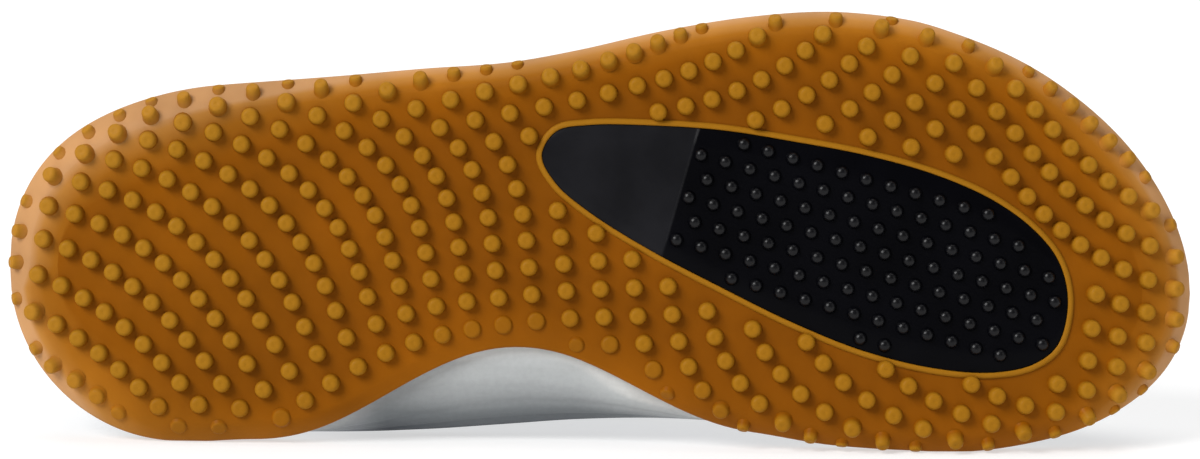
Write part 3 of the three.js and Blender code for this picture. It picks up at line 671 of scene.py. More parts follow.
class Paint:
    """A new material with short calls for its nodes."""

    def __init__(self, name, **sockets):
        self.material = bpy.data.materials.new(name)
        self.material.use_nodes = True
        self.nodes = self.material.node_tree.nodes
        self.links = self.material.node_tree.links
        self.shader = self.nodes["Principled BSDF"]
        for socket, value in sockets.items():
            self.shader.inputs[socket.replace("_", " ")].default_value = value

    def link(self, source, target):
        self.links.new(source, target)

    def attribute(self, name):
        node = self.nodes.new("ShaderNodeAttribute")
        node.attribute_name = name
        return node.outputs["Fac"]

    def position(self, scale=(1, 1, 1)):
        coordinates = self.nodes.new("ShaderNodeTexCoord")
        mapping = self.nodes.new("ShaderNodeMapping")
        mapping.inputs["Scale"].default_value = scale
        self.link(coordinates.outputs["Object"], mapping.inputs["Vector"])
        return mapping.outputs["Vector"]

    def pair(self, first, second):
        """Vector of two numbers carried by the mesh."""
        node = self.nodes.new("ShaderNodeCombineXYZ")
        self.link(self.attribute(first), node.inputs["X"])
        self.link(self.attribute(second), node.inputs["Y"])
        return node.outputs["Vector"]

    def noise(self, scale, detail, vector=None):
        node = self.nodes.new("ShaderNodeTexNoise")
        node.inputs["Scale"].default_value = scale
        node.inputs["Detail"].default_value = detail
        self.link(vector or self.position(), node.inputs["Vector"])
        return node.outputs["Fac"]

    def cells(self, scale):
        node = self.nodes.new("ShaderNodeTexVoronoi")
        node.inputs["Scale"].default_value = scale
        self.link(self.position(), node.inputs["Vector"])
        return node.outputs["Distance"]

    def dots(self, vector, pitch):
        """Distance to the nearest of a staggered grid of dots, as a share of their pitch."""
        near = []
        for shift in (0.0, 0.5):
            scaled = self.vector("MULTIPLY", vector, (1 / pitch, 1 / (pitch * math.sqrt(3)), 0))
            moved = self.vector("ADD", scaled, (shift, shift, 0))
            inside = self.vector("SUBTRACT", self.vector("FRACTION", moved), (0.5, 0.5, 0))
            square = self.vector("MULTIPLY", inside, (1, math.sqrt(3), 0))
            near.append(self.vector("LENGTH", square, result="Value"))
        return self.math("MINIMUM", *near)

    def vector(self, operation, first, second=None, result="Vector"):
        node = self.nodes.new("ShaderNodeVectorMath")
        node.operation = operation
        self.link(first, node.inputs[0])
        if second:
            node.inputs[1].default_value = second
        return node.outputs[result]

    def ramp(self, factor, *stops):
        node = self.nodes.new("ShaderNodeValToRGB")
        band = node.color_ramp
        while len(band.elements) < len(stops):
            band.elements.new(0.5)
        for element, (place, colour) in zip(band.elements, stops):
            element.position = place
            element.color = (*colour, 1)
        self.link(factor, node.inputs["Fac"])
        return node.outputs["Color"]

    def level(self, factor, *stops):
        return self.ramp(factor, *((place, (value,) * 3) for place, value in stops))

    def blend(self, factor, first, second, mode="MIX"):
        node = self.nodes.new("ShaderNodeMix")
        node.data_type = "RGBA"
        node.blend_type = mode
        for value, socket in zip((factor, first, second), MIX_SOCKETS):
            if isinstance(value, (float, int)):
                node.inputs[socket].default_value = value
            elif isinstance(value, tuple):
                node.inputs[socket].default_value = (*value, 1)
            else:
                self.link(value, node.inputs[socket])
        return node.outputs[2]

    def math(self, operation, first, second):
        node = self.nodes.new("ShaderNodeMath")
        node.operation = operation
        for value, socket in ((first, 0), (second, 1)):
            if isinstance(value, (float, int)):
                node.inputs[socket].default_value = value
            else:
                self.link(value, node.inputs[socket])
        return node.outputs[0]

    def mottled(self, colour, noise, *stops):
        """A colour made darker and paler by a noise."""
        return self.blend(1.0, colour, self.level(noise, *stops), "MULTIPLY")

    def bump(self, *heights):
        """Chains bumps of (height, depth in metres, strength)."""
        last = None
        for height, distance, strength in heights:
            node = self.nodes.new("ShaderNodeBump")
            node.inputs["Distance"].default_value = distance
            node.inputs["Strength"].default_value = strength
            self.link(height, node.inputs["Height"])
            if last:
                self.link(last, node.inputs["Normal"])
            last = node.outputs["Normal"]
        self.link(last, self.shader.inputs["Normal"])

    def colour(self, source):
        self.link(source, self.shader.inputs["Base Color"])

    def roughness(self, source):
        self.link(source, self.shader.inputs["Roughness"])


def gum_paint():
    """Amber gum rubber: deep in the middle of the sole, paler at its edge and on the studs. The paleness
    is partly the rubber's own and partly painted light: a painted sheen on the rim, painted light under
    the heel and toe, painted shade along the medial side, and stud tops painted paler than the gum
    between them.
    """
    paint = Paint("gum_rubber", Roughness=0.45, Specular_IOR_Level=0.04)
    edge = paint.attribute("edge")
    # Deep amber in the middle to pale pinkish tan at the rim: partly the rubber's own paler edge, partly
    # a painted sheen
    plain = paint.ramp(
        edge,
        (0.0, (0.185, 0.055, 0.0012)),
        (0.3, (0.24, 0.073, 0.0015)),
        (0.6, (0.31, 0.11, 0.007)),
        (0.85, (0.4, 0.175, 0.035)),
        (1.0, (0.46, 0.24, 0.1)),
    )
    # Studs are painted paler than the gum between them: painted light on their tops
    raised = paint.ramp(
        edge,
        (0.0, (0.28, 0.118, 0.006)),
        (0.3, (0.3, 0.132, 0.008)),
        (1.0, (0.4, 0.18, 0.02)),
    )
    base = paint.mottled(plain, paint.noise(30, 4), (0.3, 0.8), (0.7, 1.16))
    paint.colour(paint.blend(paint.attribute("stud"), base, raised))
    paint.roughness(paint.level(paint.noise(140, 3), (0.3, 0.36), (0.7, 0.5)))
    paint.bump(
        (paint.noise(90, 3), 0.0006, 0.12),
        (paint.noise(1400, 2), 0.0001, 0.3),
    )
    return paint.material


def black_rubber_paint():
    """Black rubber: smooth and greyer along the pad's tail, with glints on its studs."""
    paint = Paint("black_rubber", Roughness=0.32)
    head = paint.level(paint.math("MULTIPLY", paint.attribute("run"), 0.5), (0.495, 0.0), (0.505, 1.0))
    tone = paint.blend(head, (0.0085, 0.0085, 0.01), (0.0012, 0.0012, 0.002))
    paint.colour(paint.mottled(tone, paint.noise(60, 4), (0.35, 0.8), (0.75, 1.4)))
    gloss = paint.level(paint.attribute("stud"), (0.0, 0.04), (1.0, 0.22))
    paint.link(gloss, paint.shader.inputs["Specular IOR Level"])
    paint.bump((head, 0.0003, 1.0), (paint.noise(1200, 2), 0.0001, 0.35))
    return paint.material


def foam_paint():
    """Moulded light grey foam with faint lines along it, a little darker and bluer towards its top. Under
    the arch, painted shade darkens it from a thin pale line at the gum's edge towards its top, ending in
    a near-black painted shadow line where it meets the upper.
    """
    paint = Paint("foam", Roughness=0.62, Specular_IOR_Level=0.2)
    level = paint.attribute("level")
    plain = paint.ramp(level, (0.0, (0.45, 0.46, 0.46)), (1.0, (0.36, 0.38, 0.41)))
    # Painted shade under the arch: darker towards the foam's top, with a near-black painted shadow line
    # along the top where it meets the upper
    shaded = paint.ramp(
        level,
        (0.0, (0.56, 0.565, 0.55)),
        (0.05, (0.415, 0.43, 0.43)),
        (0.4, (0.155, 0.168, 0.175)),
        (0.75, (0.056, 0.063, 0.073)),
        (0.9, (0.032, 0.036, 0.044)),
        (1.0, (0.015, 0.017, 0.022)),
    )
    tone = paint.blend(paint.attribute("arch"), plain, shaded)
    streaks = paint.noise(1, 4, paint.position((9, 160, 160)))
    tone = paint.mottled(tone, streaks, (0.35, 0.93), (0.65, 1.05))
    paint.colour(paint.mottled(tone, paint.noise(700, 2), (0.3, 0.96), (0.7, 1.03)))
    paint.bump(
        (paint.noise(1, 3, paint.position((14, 420, 420))), 0.0003, 0.25),
        (paint.cells(1500), 0.0001, 0.2),
    )
    return paint.material


def mesh_cloth_paint():
    """Knitted mesh with staggered holes, plain and smooth over the eyestay."""
    paint = Paint("upper_mesh", Roughness=0.8, Specular_IOR_Level=0.2, Sheen_Weight=0.15)
    place = paint.pair("along", "around")
    knit = paint.level(paint.dots(place, MESH_PITCH), (0.2, 0.0), (0.36, 1.0))
    body = paint.math("MAXIMUM", knit, paint.attribute("stay"))
    threads = paint.noise(2.2, 3, place)
    tone = paint.blend(body, (0.17, 0.185, 0.21), (0.47, 0.49, 0.52))
    tone = paint.blend(paint.attribute("stay"), tone, OVERLAY_TONE)
    paint.colour(paint.mottled(tone, threads, (0.3, 0.88), (0.7, 1.08)))
    paint.bump((body, 0.0004, 0.8), (threads, 0.0002, 0.35))
    return paint.material


def cloth_paint(name, colour, threads):
    """Plain woven cloth: crossing threads as rows of bricks, with darker gaps between them painted as
    shade.
    """
    paint = Paint(name, Roughness=0.88, Sheen_Weight=0.25, Sheen_Roughness=0.5)
    weave = paint.nodes.new("ShaderNodeTexBrick")
    for socket, value in (("Scale", threads), ("Mortar Size", 0.12), ("Mortar Smooth", 0.8),
                          ("Brick Width", 0.9), ("Row Height", 0.45)):
        weave.inputs[socket].default_value = value
    # The mortar's darker tone is painted shade in the gaps between threads
    for socket, shade in (("Color1", 1), ("Color2", 0.92), ("Mortar", 0.6)):
        weave.inputs[socket].default_value = (*(shade * part for part in colour), 1)
    paint.link(paint.pair("along", "around"), weave.inputs["Vector"])
    paint.colour(paint.mottled(weave.outputs["Color"], paint.noise(60, 4), (0.3, 0.9), (0.7, 1.06)))
    raised = paint.math("SUBTRACT", 1.0, weave.outputs["Fac"])
    paint.bump((raised, 0.0003, 0.6), (paint.noise(900, 2), 0.0001, 0.3))
    return paint.material


def overlay_paint():
    """Smooth synthetic overlay with a fine pebble grain."""
    paint = Paint("overlay", Roughness=0.55, Coat_Weight=0.05)
    paint.colour(paint.mottled(OVERLAY_TONE, paint.noise(45, 4), (0.3, 0.9), (0.7, 1.06)))
    paint.roughness(paint.level(paint.noise(120, 3), (0.3, 0.48), (0.7, 0.62)))
    paint.bump((paint.cells(900), 0.0002, 0.3), (paint.noise(70, 3), 0.0005, 0.15))
    return paint.material


def thread_paint():
    paint = Paint("stitch_thread", Roughness=0.7, Sheen_Weight=0.3)
    paint.colour(paint.mottled(THREAD_TONE, paint.noise(1800, 2), (0.35, 0.75), (0.65, 1.1)))
    return paint.material


# Outsole

STATIONS = end_spaced(181)

# How much more or less the gum pales at its edge (painted light at the lateral heel, painted shade along
# the medial side), and how much painted light lies all over under both ends
HEEL_PAINTED_LIGHT = 0.6
MEDIAL_PAINTED_SHADE = 0.65
HEEL_LIGHT = 0.3
TOE_LIGHT = 0.22

# Rolled edge from the wall to the flat underside: how far it has still to turn, and how pale the gum is
# there, partly the rubber's own paler edge and partly a painted sheen.
EDGE_ROLL = ((0.97, 1), (0.9, 0.97), (0.8, 0.92), (0.68, 0.86), (0.52, 0.76), (0.34, 0.62), (0.16, 0.5))


def rim_pale_sheen_and_shade(at, side):
    """How far the gum pales towards its edge: most at the lateral heel, where painted light is added, and
    least along the medial side, where painted shade holds it down.
    """
    if side == LATERAL:
        return 1 + HEEL_PAINTED_LIGHT * (1 - smoothstep(at, 0.08, 0.3))
    return 1 - MEDIAL_PAINTED_SHADE * smoothstep(at, 0.0, 0.14) * (1 - smoothstep(at, 0.88, 1))


def sole_ring(sheet, inset, cut, height, edge=0.0, **numbers):
    """Ring round the sole: heel tip, lateral side, toe tip, medial side."""
    ring = []
    stops = [(at, LATERAL) for at in STATIONS] + [(at, MEDIAL) for at in STATIONS[-2:0:-1]]
    for at, side in stops:
        x, y = plan_point(at, side, inset, cut)
        # edge carries the gum's paleness with its painted sheen and shade; arch says where the foam's
        # painted shade falls
        tint = dict(edge=edge * rim_pale_sheen_and_shade(at, side), arch=arch_fade(at, side))
        ring.append(sheet.add((x, y, height(x, at, side)), **tint, **numbers))
    return ring


def lid(sheet, ring, steps, height, **numbers):
    """Flat grid over a ring: a row across for each pair of stations."""
    count = len(ring)
    rows = []
    for k in range(count // 2 + 1):
        a, b = ring[k], ring[(count - k) % count]
        row = [a]
        for step in range(1, steps):
            x, y, _ = sheet.points[a].lerp(sheet.points[b], step / steps)
            row.append(sheet.add((x, y, height(x, y)), **numbers))
        rows.append(row + [b])
    sheet.grid(rows)


def paint_light_at_ends(sheet):
    """Painted light: the gum is painted a little paler under the heel and the toe than in the middle of
    the sole.
    """
    edges = sheet.numbers["edge"]
    for k, point in enumerate(sheet.points):
        at = point.x / SOLE_LENGTH
        edges[k] += HEEL_LIGHT * (1 - smoothstep(at, 0.1, 0.36)) + TOE_LIGHT * smoothstep(at, 0.82, 0.95)


def gum_shell():
    """Outsole: inside of the cup, its rim and wall, the rolled edge and the underside."""
    sheet = Sheet("edge", "stud")

    def plate(rise):
        return lambda x, at, side: ground_lift(x) + rise

    def below_rim(drop):
        return lambda x, at, side: ground_lift(x) + cup_top(at, side) - drop

    def wall(share):
        return lambda x, at, side: ground_lift(x) + mix(edge_rise(at, side), cup_top(at, side), share)

    def rolled(share):
        return lambda x, at, side: ground_lift(x) + edge_rise(at, side) * share

    cup = WALL_INSET + CUP_WALL
    levels = [
        (cup + SEAT_GAP, plate(PLATE), 0.3),
        (cup, below_rim(0.6), 0.9),
        (cup - 0.5, below_rim(0.05), 1),
        (WALL_INSET + 0.7, below_rim(0), 1),
        (WALL_INSET + 0.15, below_rim(0.35), 1),
        (WALL_INSET, wall(0.8), 1),
        (WALL_INSET * 0.5, wall(0.45), 1),
        (WALL_INSET * 0.15, wall(0.2), 1),
    ]
    for turned, edge in EDGE_ROLL:
        levels.append((ROLL_WIDTH * (1 - turned), rolled(turned ** ROLL_SHAPE), edge))
    for inset, edge in ((ROLL_WIDTH, 0.42), (9, 0.3), (13, 0.16)):
        levels.append((inset, plate(0), edge))
    rings = [sole_ring(sheet, inset, 1, height, edge=edge) for inset, height, edge in levels]
    sheet.grid(rings, closed=True)
    lid(sheet, rings[-1], 10, lambda x, y: ground_lift(x))
    lid(sheet, rings[0], 4, lambda x, y: ground_lift(x) + PLATE, edge=0.3)
    paint_light_at_ends(sheet)
    make("gum_shell", sheet, GUM, nodes=("outsole",), weld=1e-6)


# Profile of a round stud: share of its radius and of its height, up to a soft
# top with a small dimple in the middle.
STUD_PROFILE = (
    (1.22, -0.12), (1.1, 0.05), (1.04, 0.28), (1.0, 0.6), (0.93, 0.8), (0.8, 0.93),
    (0.57, 0.99), (0.3, 1.0), (0.1, 0.96),
)
STUD_SIDES = 16
# How much of the rim's paleness and painted sheen the studs take, and how far up each stud the painted
# shade at its foot reaches
STUD_GLOW = 0.55
STUD_FOOT = 0.55
STUD_SKIRT = 0.3
EDGE_STUD_SIZE = 0.68
EDGE_STUD_LEAN = 0.75
SUNK_DEPTH = 0.82
# How much of their painted paleness the sunk studs lose
SUNK_TONE = 0.7
LOWEST_STUD = 0.3


def stud_edge(x, y):
    """How the gum's colour stands at a place: 0 in the middle, 1 at the edge, where the rubber's paleness
    carries a painted sheen.
    """
    glow = min(rim_pale_sheen_and_shade(x / SOLE_LENGTH, side_of(x, y)), 1)
    return STUD_GLOW * glow * (1 - smoothstep(edge_distance(x, y, 16), 1, 14))


def sunk(x, y):
    """How far a stud sinks into the rubber beside the arch and the medial heel."""
    if side_of(x, y) == LATERAL:
        return 0
    at = x / SOLE_LENGTH
    reach = smoothstep(at, 0.03, 0.12) * (1 - smoothstep(at, 0.56, 0.66))
    return reach * (1 - smoothstep(edge_distance(x, y, 15), 4.5, 13))


def stud_radius(x, y):
    return STUD_WIDTH / 2 * mix(EDGE_STUD_SIZE, 1, smoothstep(edge_distance(x, y, 8), 0.4, 6))


def stud_way(x, y):
    """Studs stand square to the rubber, and close to the edge they point out of the sole."""
    turned = 1 - smoothstep(edge_distance(x, y, 6), 0, 5)
    return underside_normal(x, y).lerp(outward(x, y), EDGE_STUD_LEAN * turned).normalized()


def stud_height(x, y, way):
    """Studs at the edge are cut down so that they hardly stand out past it."""
    height = STUD_HEIGHT * (1 - SUNK_DEPTH * sunk(x, y))
    lean = math.hypot(way.x, way.y)
    if lean < 0.1:
        return height
    room = EDGE_STUD_PROUD + edge_distance(x, y, 8) - stud_radius(x, y) * abs(way.z)
    return clamp(room / lean, LOWEST_STUD, height)


def add_stud(sheet, root, way, radius, height, profile, skirt=STUD_SKIRT, stud=1.0, **numbers):
    """A round stud from its profile; the skirt is how deep its foot reaches into the rubber."""
    turn = Vector((0, 0, 1)).rotation_difference(way)
    rings = []
    for share, rise in profile:
        up = rise * height if rise > 0 else -skirt
        # Painted shade at the stud's foot: its colour runs from the gum's own at the foot to the paler
        # stud tone higher up
        shade = stud * smoothstep(rise, 0.0, STUD_FOOT)
        rings.append(sheet.circle(root, turn, radius * share, up, STUD_SIDES, stud=shade, **numbers))
    sheet.grid(rings, closed=True)
    top = Vector((0, 0, profile[-1][1] * height))
    sheet.fan(rings[-1], root + turn @ top, stud=stud, **numbers)


def gum_studs():
    sheet = Sheet("edge", "stud")
    clear = PAD_RIM_WIDTH / 2 + STUD_WIDTH / 2
    for x, y in stud_places():
        if is_on_pad(x, y) or is_near_rim(x, y, clear):
            continue
        root = Vector((x, y, underside(x, y)))
        way = stud_way(x, y)
        slant = way.cross(underside_normal(x, y)).length
        add_stud(sheet, root, way, stud_radius(x, y), stud_height(x, y, way), STUD_PROFILE,
                 skirt=STUD_SKIRT + 2 * slant, edge=stud_edge(x, y), stud=1 - SUNK_TONE * sunk(x, y))
    paint_light_at_ends(sheet)
    make("gum_studs", sheet, GUM, nodes=("outsole",))


# Pad of the forefoot

PAD_STEPS = 8
PAD_TAIL = 36
PAD_OUTLINE = smooth_ring([(x, y, 0) for x, y in pad_ring()], PAD_STEPS)


def pad_rows(sheet, insets, **numbers):
    """Rings of the pad's smooth outline, each moved in by its inset, at its own height."""
    count = len(PAD_OUTLINE)
    inward = []
    for k in range(count):
        run = (PAD_OUTLINE[(k + 1) % count] - PAD_OUTLINE[k - 1]).normalized()
        inward.append(Vector((-run.y, run.x, 0)))
    rows = []
    for inset, rise in insets:
        row = []
        for point, way in zip(PAD_OUTLINE, inward):
            x, y, _ = point + way * inset
            row.append(sheet.add((x, y, ground_lift(x) - rise), **numbers))
        rows.append(row)
    return rows


def pad_axis():
    """The pad's tip, and the way from it along the pad."""
    tip, head = PAD[0], PAD[-2]
    start = Vector((tip["at"] * SOLE_LENGTH, tip["lateral"] * BALL_WIDTH, 0))
    middle = (head["lateral"] + head["medial"]) / 2
    end = Vector((head["at"] * SOLE_LENGTH, middle * BALL_WIDTH, 0))
    return start, (end - start).normalized()


def pad_run(x, y):
    """Distance along the pad from its tip, as a share of the length of its smooth tail."""
    start, way = pad_axis()
    return (Vector((x, y, 0)) - start).dot(way) / PAD_TAIL


def pad_plate():
    sheet = Sheet("run", "stud")
    rows = pad_rows(sheet, ((0, -1), (0, PAD_PROUD - 0.15), (0.25, PAD_PROUD)))
    sheet.grid(rows, closed=True)
    lid(sheet, rows[-1], 8, lambda x, y: ground_lift(x) - PAD_PROUD)
    lid(sheet, rows[0], 8, lambda x, y: ground_lift(x) + 1)
    sheet.numbers["run"] = [pad_run(point.x, point.y) for point in sheet.points]
    make("pad_plate", sheet, BLACK, nodes=("sole_pad",), weld=1e-6)


def pad_rim():
    """Raised gum line round the pad."""
    sheet = Sheet("edge", "stud")
    width = PAD_RIM_WIDTH + SEAT_GAP
    profile = (
        (0.05, -0.6), (0.0, 0.35), (-0.12, PAD_RIM_HEIGHT * 0.9), (-0.4, PAD_RIM_HEIGHT),
        (-width * 0.6, PAD_RIM_HEIGHT), (-width * 0.85, PAD_RIM_HEIGHT * 0.75), (-width, 0.2),
        (-width, -0.6),
    )
    rows = pad_rows(sheet, profile, edge=0.2, stud=0.85)
    sheet.grid(rows + rows[:1], closed=True)
    make("pad_rim", sheet, GUM, nodes=("outsole",))


PAD_STUD_PITCH = 6.4
PAD_ROW_PITCH = 5.55
PAD_STUD_WIDTH = 3.5
PAD_STUD_HEIGHT = 1.7
PAD_STUDS_FROM = 1.06
PAD_STUD_ROWS = range(-8, 9)
PAD_STUD_STEPS = range(26)
PAD_STUD_PROFILE = ((1.12, -0.2), (1.0, 0.15), (0.88, 0.5), (0.7, 0.76), (0.45, 0.93), (0.18, 1.0))


def pad_studs():
    """Small studs in staggered rows along the pad, left off its tail."""
    sheet = Sheet("run", "stud")
    start, way = pad_axis()
    over = Vector((-way.y, way.x, 0))
    for row in PAD_STUD_ROWS:
        for step in PAD_STUD_STEPS:
            shift = 0.5 if row % 2 else 0
            x, y, _ = start + way * (step + shift) * PAD_STUD_PITCH + over * row * PAD_ROW_PITCH
            at_edge = is_near_rim(x, y, PAD_STUD_WIDTH * 0.8)
            if at_edge or not is_on_pad(x, y) or pad_run(x, y) < PAD_STUDS_FROM:
                continue
            root = Vector((x, y, ground_lift(x) - PAD_PROUD))
            add_stud(sheet, root, Vector((0, 0, -1)), PAD_STUD_WIDTH / 2, PAD_STUD_HEIGHT,
                     PAD_STUD_PROFILE, run=2)
    make("pad_studs", sheet, BLACK, nodes=("sole_pad",))


# Midsole

MIDSOLE_LINES = (0.3, 0.52, 0.74)
LINE_DEPTH = 0.35
LINE_WIDTH = 0.022
HEEL_SHADE = 0.4
TOE_SHADE = 0.15


def midsole_side(share):
    """Inset and share of the cut-out at a height of the midsole's side, with its moulded lines."""
    inset = column(MIDSOLE_SIDE, "inset", share)
    for line in MIDSOLE_LINES:
        inset += LINE_DEPTH * math.exp(-((share - line) / LINE_WIDTH) ** 2)
    return inset, column(MIDSOLE_SIDE, "cut", share)


def shade_ends(sheet):
    """Under the arch the foam's painted shade starts sooner towards the heel and later towards the toe.
    """
    levels = sheet.numbers["level"]
    for k, point in enumerate(sheet.points):
        at = point.x / SOLE_LENGTH
        shift = HEEL_SHADE * (1 - smoothstep(at, 0.26, 0.4)) - TOE_SHADE * smoothstep(at, 0.47, 0.55)
        levels[k] = clamp(levels[k] + shift * sheet.numbers["arch"][k])


def midsole_body():
    sheet = Sheet("level", "arch")
    seat = PLATE + SEAT_GAP
    cup = WALL_INSET + CUP_WALL + SEAT_GAP

    def up_side(share):
        def height(x, at, side):
            low = ground_lift(x) + cup_top(at, side) + SEAT_GAP
            return mix(low, top_height(x), share)
        return height

    rings = [
        sole_ring(sheet, cup + SEAT_GAP, 1, lambda x, at, side: ground_lift(x) + seat),
        sole_ring(sheet, cup, 1, up_side(0)),
    ]
    for share in sorted([k / 36 for k in range(37)] + [0.012, 0.985]):
        inset, cut = midsole_side(share)
        rings.append(sole_ring(sheet, inset, cut, up_side(share), level=share))
    rings.append(sole_ring(sheet, 8, 0, lambda x, at, side: top_height(x), level=1))
    sheet.grid(rings, closed=True)
    lid(sheet, rings[-1], 4, lambda x, y: top_height(x), level=1)
    lid(sheet, rings[0], 4, lambda x, y: ground_lift(x) + seat)
    shade_ends(sheet)
    make("midsole_body", sheet, FOAM, nodes=("midsole",), weld=1e-6)


# Upper

UPPER_STATIONS = end_spaced(190)
UPPER_TURNS = [k / 38 for k in range(31)] + [mix(31 / 38, 1, k / 22) for k in range(23)]
EYESTAY_REACH = 0.152
EYESTAY_BACK = 0.38
EYESTAY_FRONT = 0.79
STEP_START = 0.39
COLLAR_FRONT = 0.425
WEAVE_TURN = 0.7


def eyestay(at, turn):
    """1 on the eyestay: a band along the throat, rounded at its front."""
    down = (1 - turn) / EYESTAY_REACH
    ahead = max(at - THROAT_FRONT, 0) / (EYESTAY_FRONT - THROAT_FRONT)
    off = smoothstep(math.hypot(down, ahead), 0.95, 1.05)
    return (1 - off) * smoothstep(at, EYESTAY_BACK - 0.005, EYESTAY_BACK + 0.005)


# Flex creases behind the toe
CREASES = table(
    "at width depth",
    (0.765, 0.008, 0.7),
    (0.795, 0.007, 0.5),
    (0.735, 0.008, 0.45),
)


def creases(at, turn):
    """Depth of the soft creases at a place; they slant forward and fade down the side."""
    depth = 0
    for crease in CREASES:
        centre = crease["at"] + 0.03 * (turn - 0.7)
        depth += crease["depth"] * math.exp(-((at - centre) / crease["width"]) ** 2)
    return depth * smoothstep(turn, 0.3, 0.5)


def weave_runs():
    """Length along the upper at each station: the mean of both sides, so that they meet at the ridge."""
    runs = [0]
    for back, front in zip(UPPER_STATIONS, UPPER_STATIONS[1:]):
        steps = [(last_point(front, side, WEAVE_TURN, 0) - last_point(back, side, WEAVE_TURN, 0)).length
                 for side in (LATERAL, MEDIAL)]
        runs.append(runs[-1] + sum(steps) / 2)
    return runs


def upper_grid(sheet, side, depth_of):
    """Rows over half the last; the weave's numbers follow its length and its girth from the ridge."""
    rows = []
    for at, run in zip(UPPER_STATIONS, weave_runs()):
        plain = [last_point(at, side, turn, 0) for turn in UPPER_TURNS]
        girths = [0]
        for upper, lower in zip(plain[:0:-1], plain[-2::-1]):
            girths.append(girths[-1] + (upper - lower).length)
        row = []
        for turn, girth in zip(UPPER_TURNS, girths[::-1]):
            point = last_point(at, side, turn, depth_of(at, turn))
            row.append(sheet.add(point, along=run, around=girth * side, stay=eyestay(at, turn)))
        rows.append(row)
    return rows


def outer_depth(at, turn):
    """Depth of the outer face: creases go in, and the eyestay comes out where the collar's roll ends."""
    step = EYESTAY_STEP * smoothstep(at, STEP_START, COLLAR_FRONT)
    return creases(at, turn) - step * eyestay(at, turn)


def upper_body():
    """The hollow shell: mesh cloth outside, lining inside, open at the collar, throat and below."""
    sheet = Sheet("along", "around", "stay")
    open_rows = [k for k, at in enumerate(UPPER_STATIONS[1:], 1) if UPPER_STATIONS[k - 1] <= THROAT_FRONT]
    for side in (LATERAL, MEDIAL):
        outer = upper_grid(sheet, side, outer_depth)
        inner = upper_grid(sheet, side, lambda at, turn: UPPER_WALL)
        sheet.paint = 0
        sheet.grid(outer)
        sheet.paint = 1
        sheet.grid(inner)
        sheet.grid([[row[0] for row in inner], [row[0] for row in outer]])
        sheet.paint = 0
        sheet.grid([[rows[k][-1] for k in [0] + open_rows] for rows in (outer, inner)])
    shell = make("upper_body", sheet, (MESH, LINING), nodes=("upper",), weld=2e-5)
    punch_eyelets(shell)


# Overlays: panels laid on the mesh from the feather edge up to a line. Each row
# is a station and the turn that the panel's edge reaches there.
TOE_GUARD = table(
    "at turn",
    (0.74, 0.02), (0.78, 0.13), (0.83, 0.23),
    (0.88, 0.31), (0.93, 0.4), (0.97, 0.5), (1.0, 0.58),
)
HEEL_COUNTER = table(
    "at turn",
    (0.0, 0.74), (0.05, 0.73), (0.11, 0.66),
    (0.17, 0.5), (0.23, 0.3), (0.29, 0.12), (0.32, 0.02),
)
SIDE_WING = table(
    "at turn",
    (0.34, 0.02), (0.39, 0.2), (0.44, 0.46),
    (0.49, 0.5), (0.55, 0.36), (0.62, 0.18), (0.7, 0.02),
)
OVERLAYS = {"toe_guard": TOE_GUARD, "heel_counter": HEEL_COUNTER, "side_wing": SIDE_WING}
OVERLAY_PROUD = 0.7
OVERLAY_SUNK = 0.25
OVERLAY_RISE = 0.91
OVERLAY_STEPS = 60


def overlay_panel(sheet, rows, side):
    """Half of an overlay: its edges start inside the cloth and rise over it."""
    first, last = rows[0]["at"], rows[-1]["at"]
    shares = [0, 0.03] + [k / 14 for k in range(1, 14)] + [0.965, 0.988, 1]
    grid = []
    for step in range(OVERLAY_STEPS + 1):
        at = mix(first, last, step / OVERLAY_STEPS)
        top = max(column(rows, "turn", at), 0.015)
        from_end = step if first > 0 else OVERLAY_STEPS
        if last < 1:
            from_end = min(from_end, OVERLAY_STEPS - step)
        line = []
        for share in shares:
            rise = OVERLAY_RISE * smoothstep(1 - share, 0, 0.03) * smoothstep(from_end, -0.5, 1.5)
            turn = top * share
            line.append(sheet.add(last_point(at, side, turn, creases(at, turn) + OVERLAY_SUNK - rise)))
        grid.append(line)
    sheet.grid(grid, flip=side == LATERAL)


def overlays():
    for name, rows in OVERLAYS.items():
        sheet = Sheet()
        for side in (LATERAL, MEDIAL):
            overlay_panel(sheet, rows, side)
        make(name, sheet, OVERLAY, nodes=("upper",), weld=2e-5, closed=False)


# Stitches

STITCH_LENGTH = 2.3
STITCH_PITCH = 3.2
STITCH_RADIUS = 0.32
STITCH_SIDES = 6
STITCH_PROUD = 0.1
EDGE_PATH_STEPS = 160
LEVEL_PATH_STEPS = 120
STITCH_PROFILE = ((0, 0.35), (0.15, 0.9), (0.5, 1), (0.85, 0.9), (1, 0.35))


def stitch_row(sheet, path):
    """Short rounded stitches along a path of points that lies on the surface."""
    lengths = [0]
    for a, b in zip(path, path[1:]):
        lengths.append(lengths[-1] + (b - a).length)

    def place(distance):
        k = 0
        while k < len(path) - 2 and lengths[k + 1] < distance:
            k += 1
        span = max(lengths[k + 1] - lengths[k], 1e-6)
        return path[k].lerp(path[k + 1], clamp((distance - lengths[k]) / span))

    for n in range(int(lengths[-1] / STITCH_PITCH)):
        start = place(n * STITCH_PITCH)
        end = place(n * STITCH_PITCH + STITCH_LENGTH)
        run = end - start
        if run.length < 0.5:
            continue
        turn = Vector((0, 0, 1)).rotation_difference(run)
        sheet.tube([
            sheet.circle(start + run * share, turn, STITCH_RADIUS * size, 0, STITCH_SIDES)
            for share, size in STITCH_PROFILE
        ])


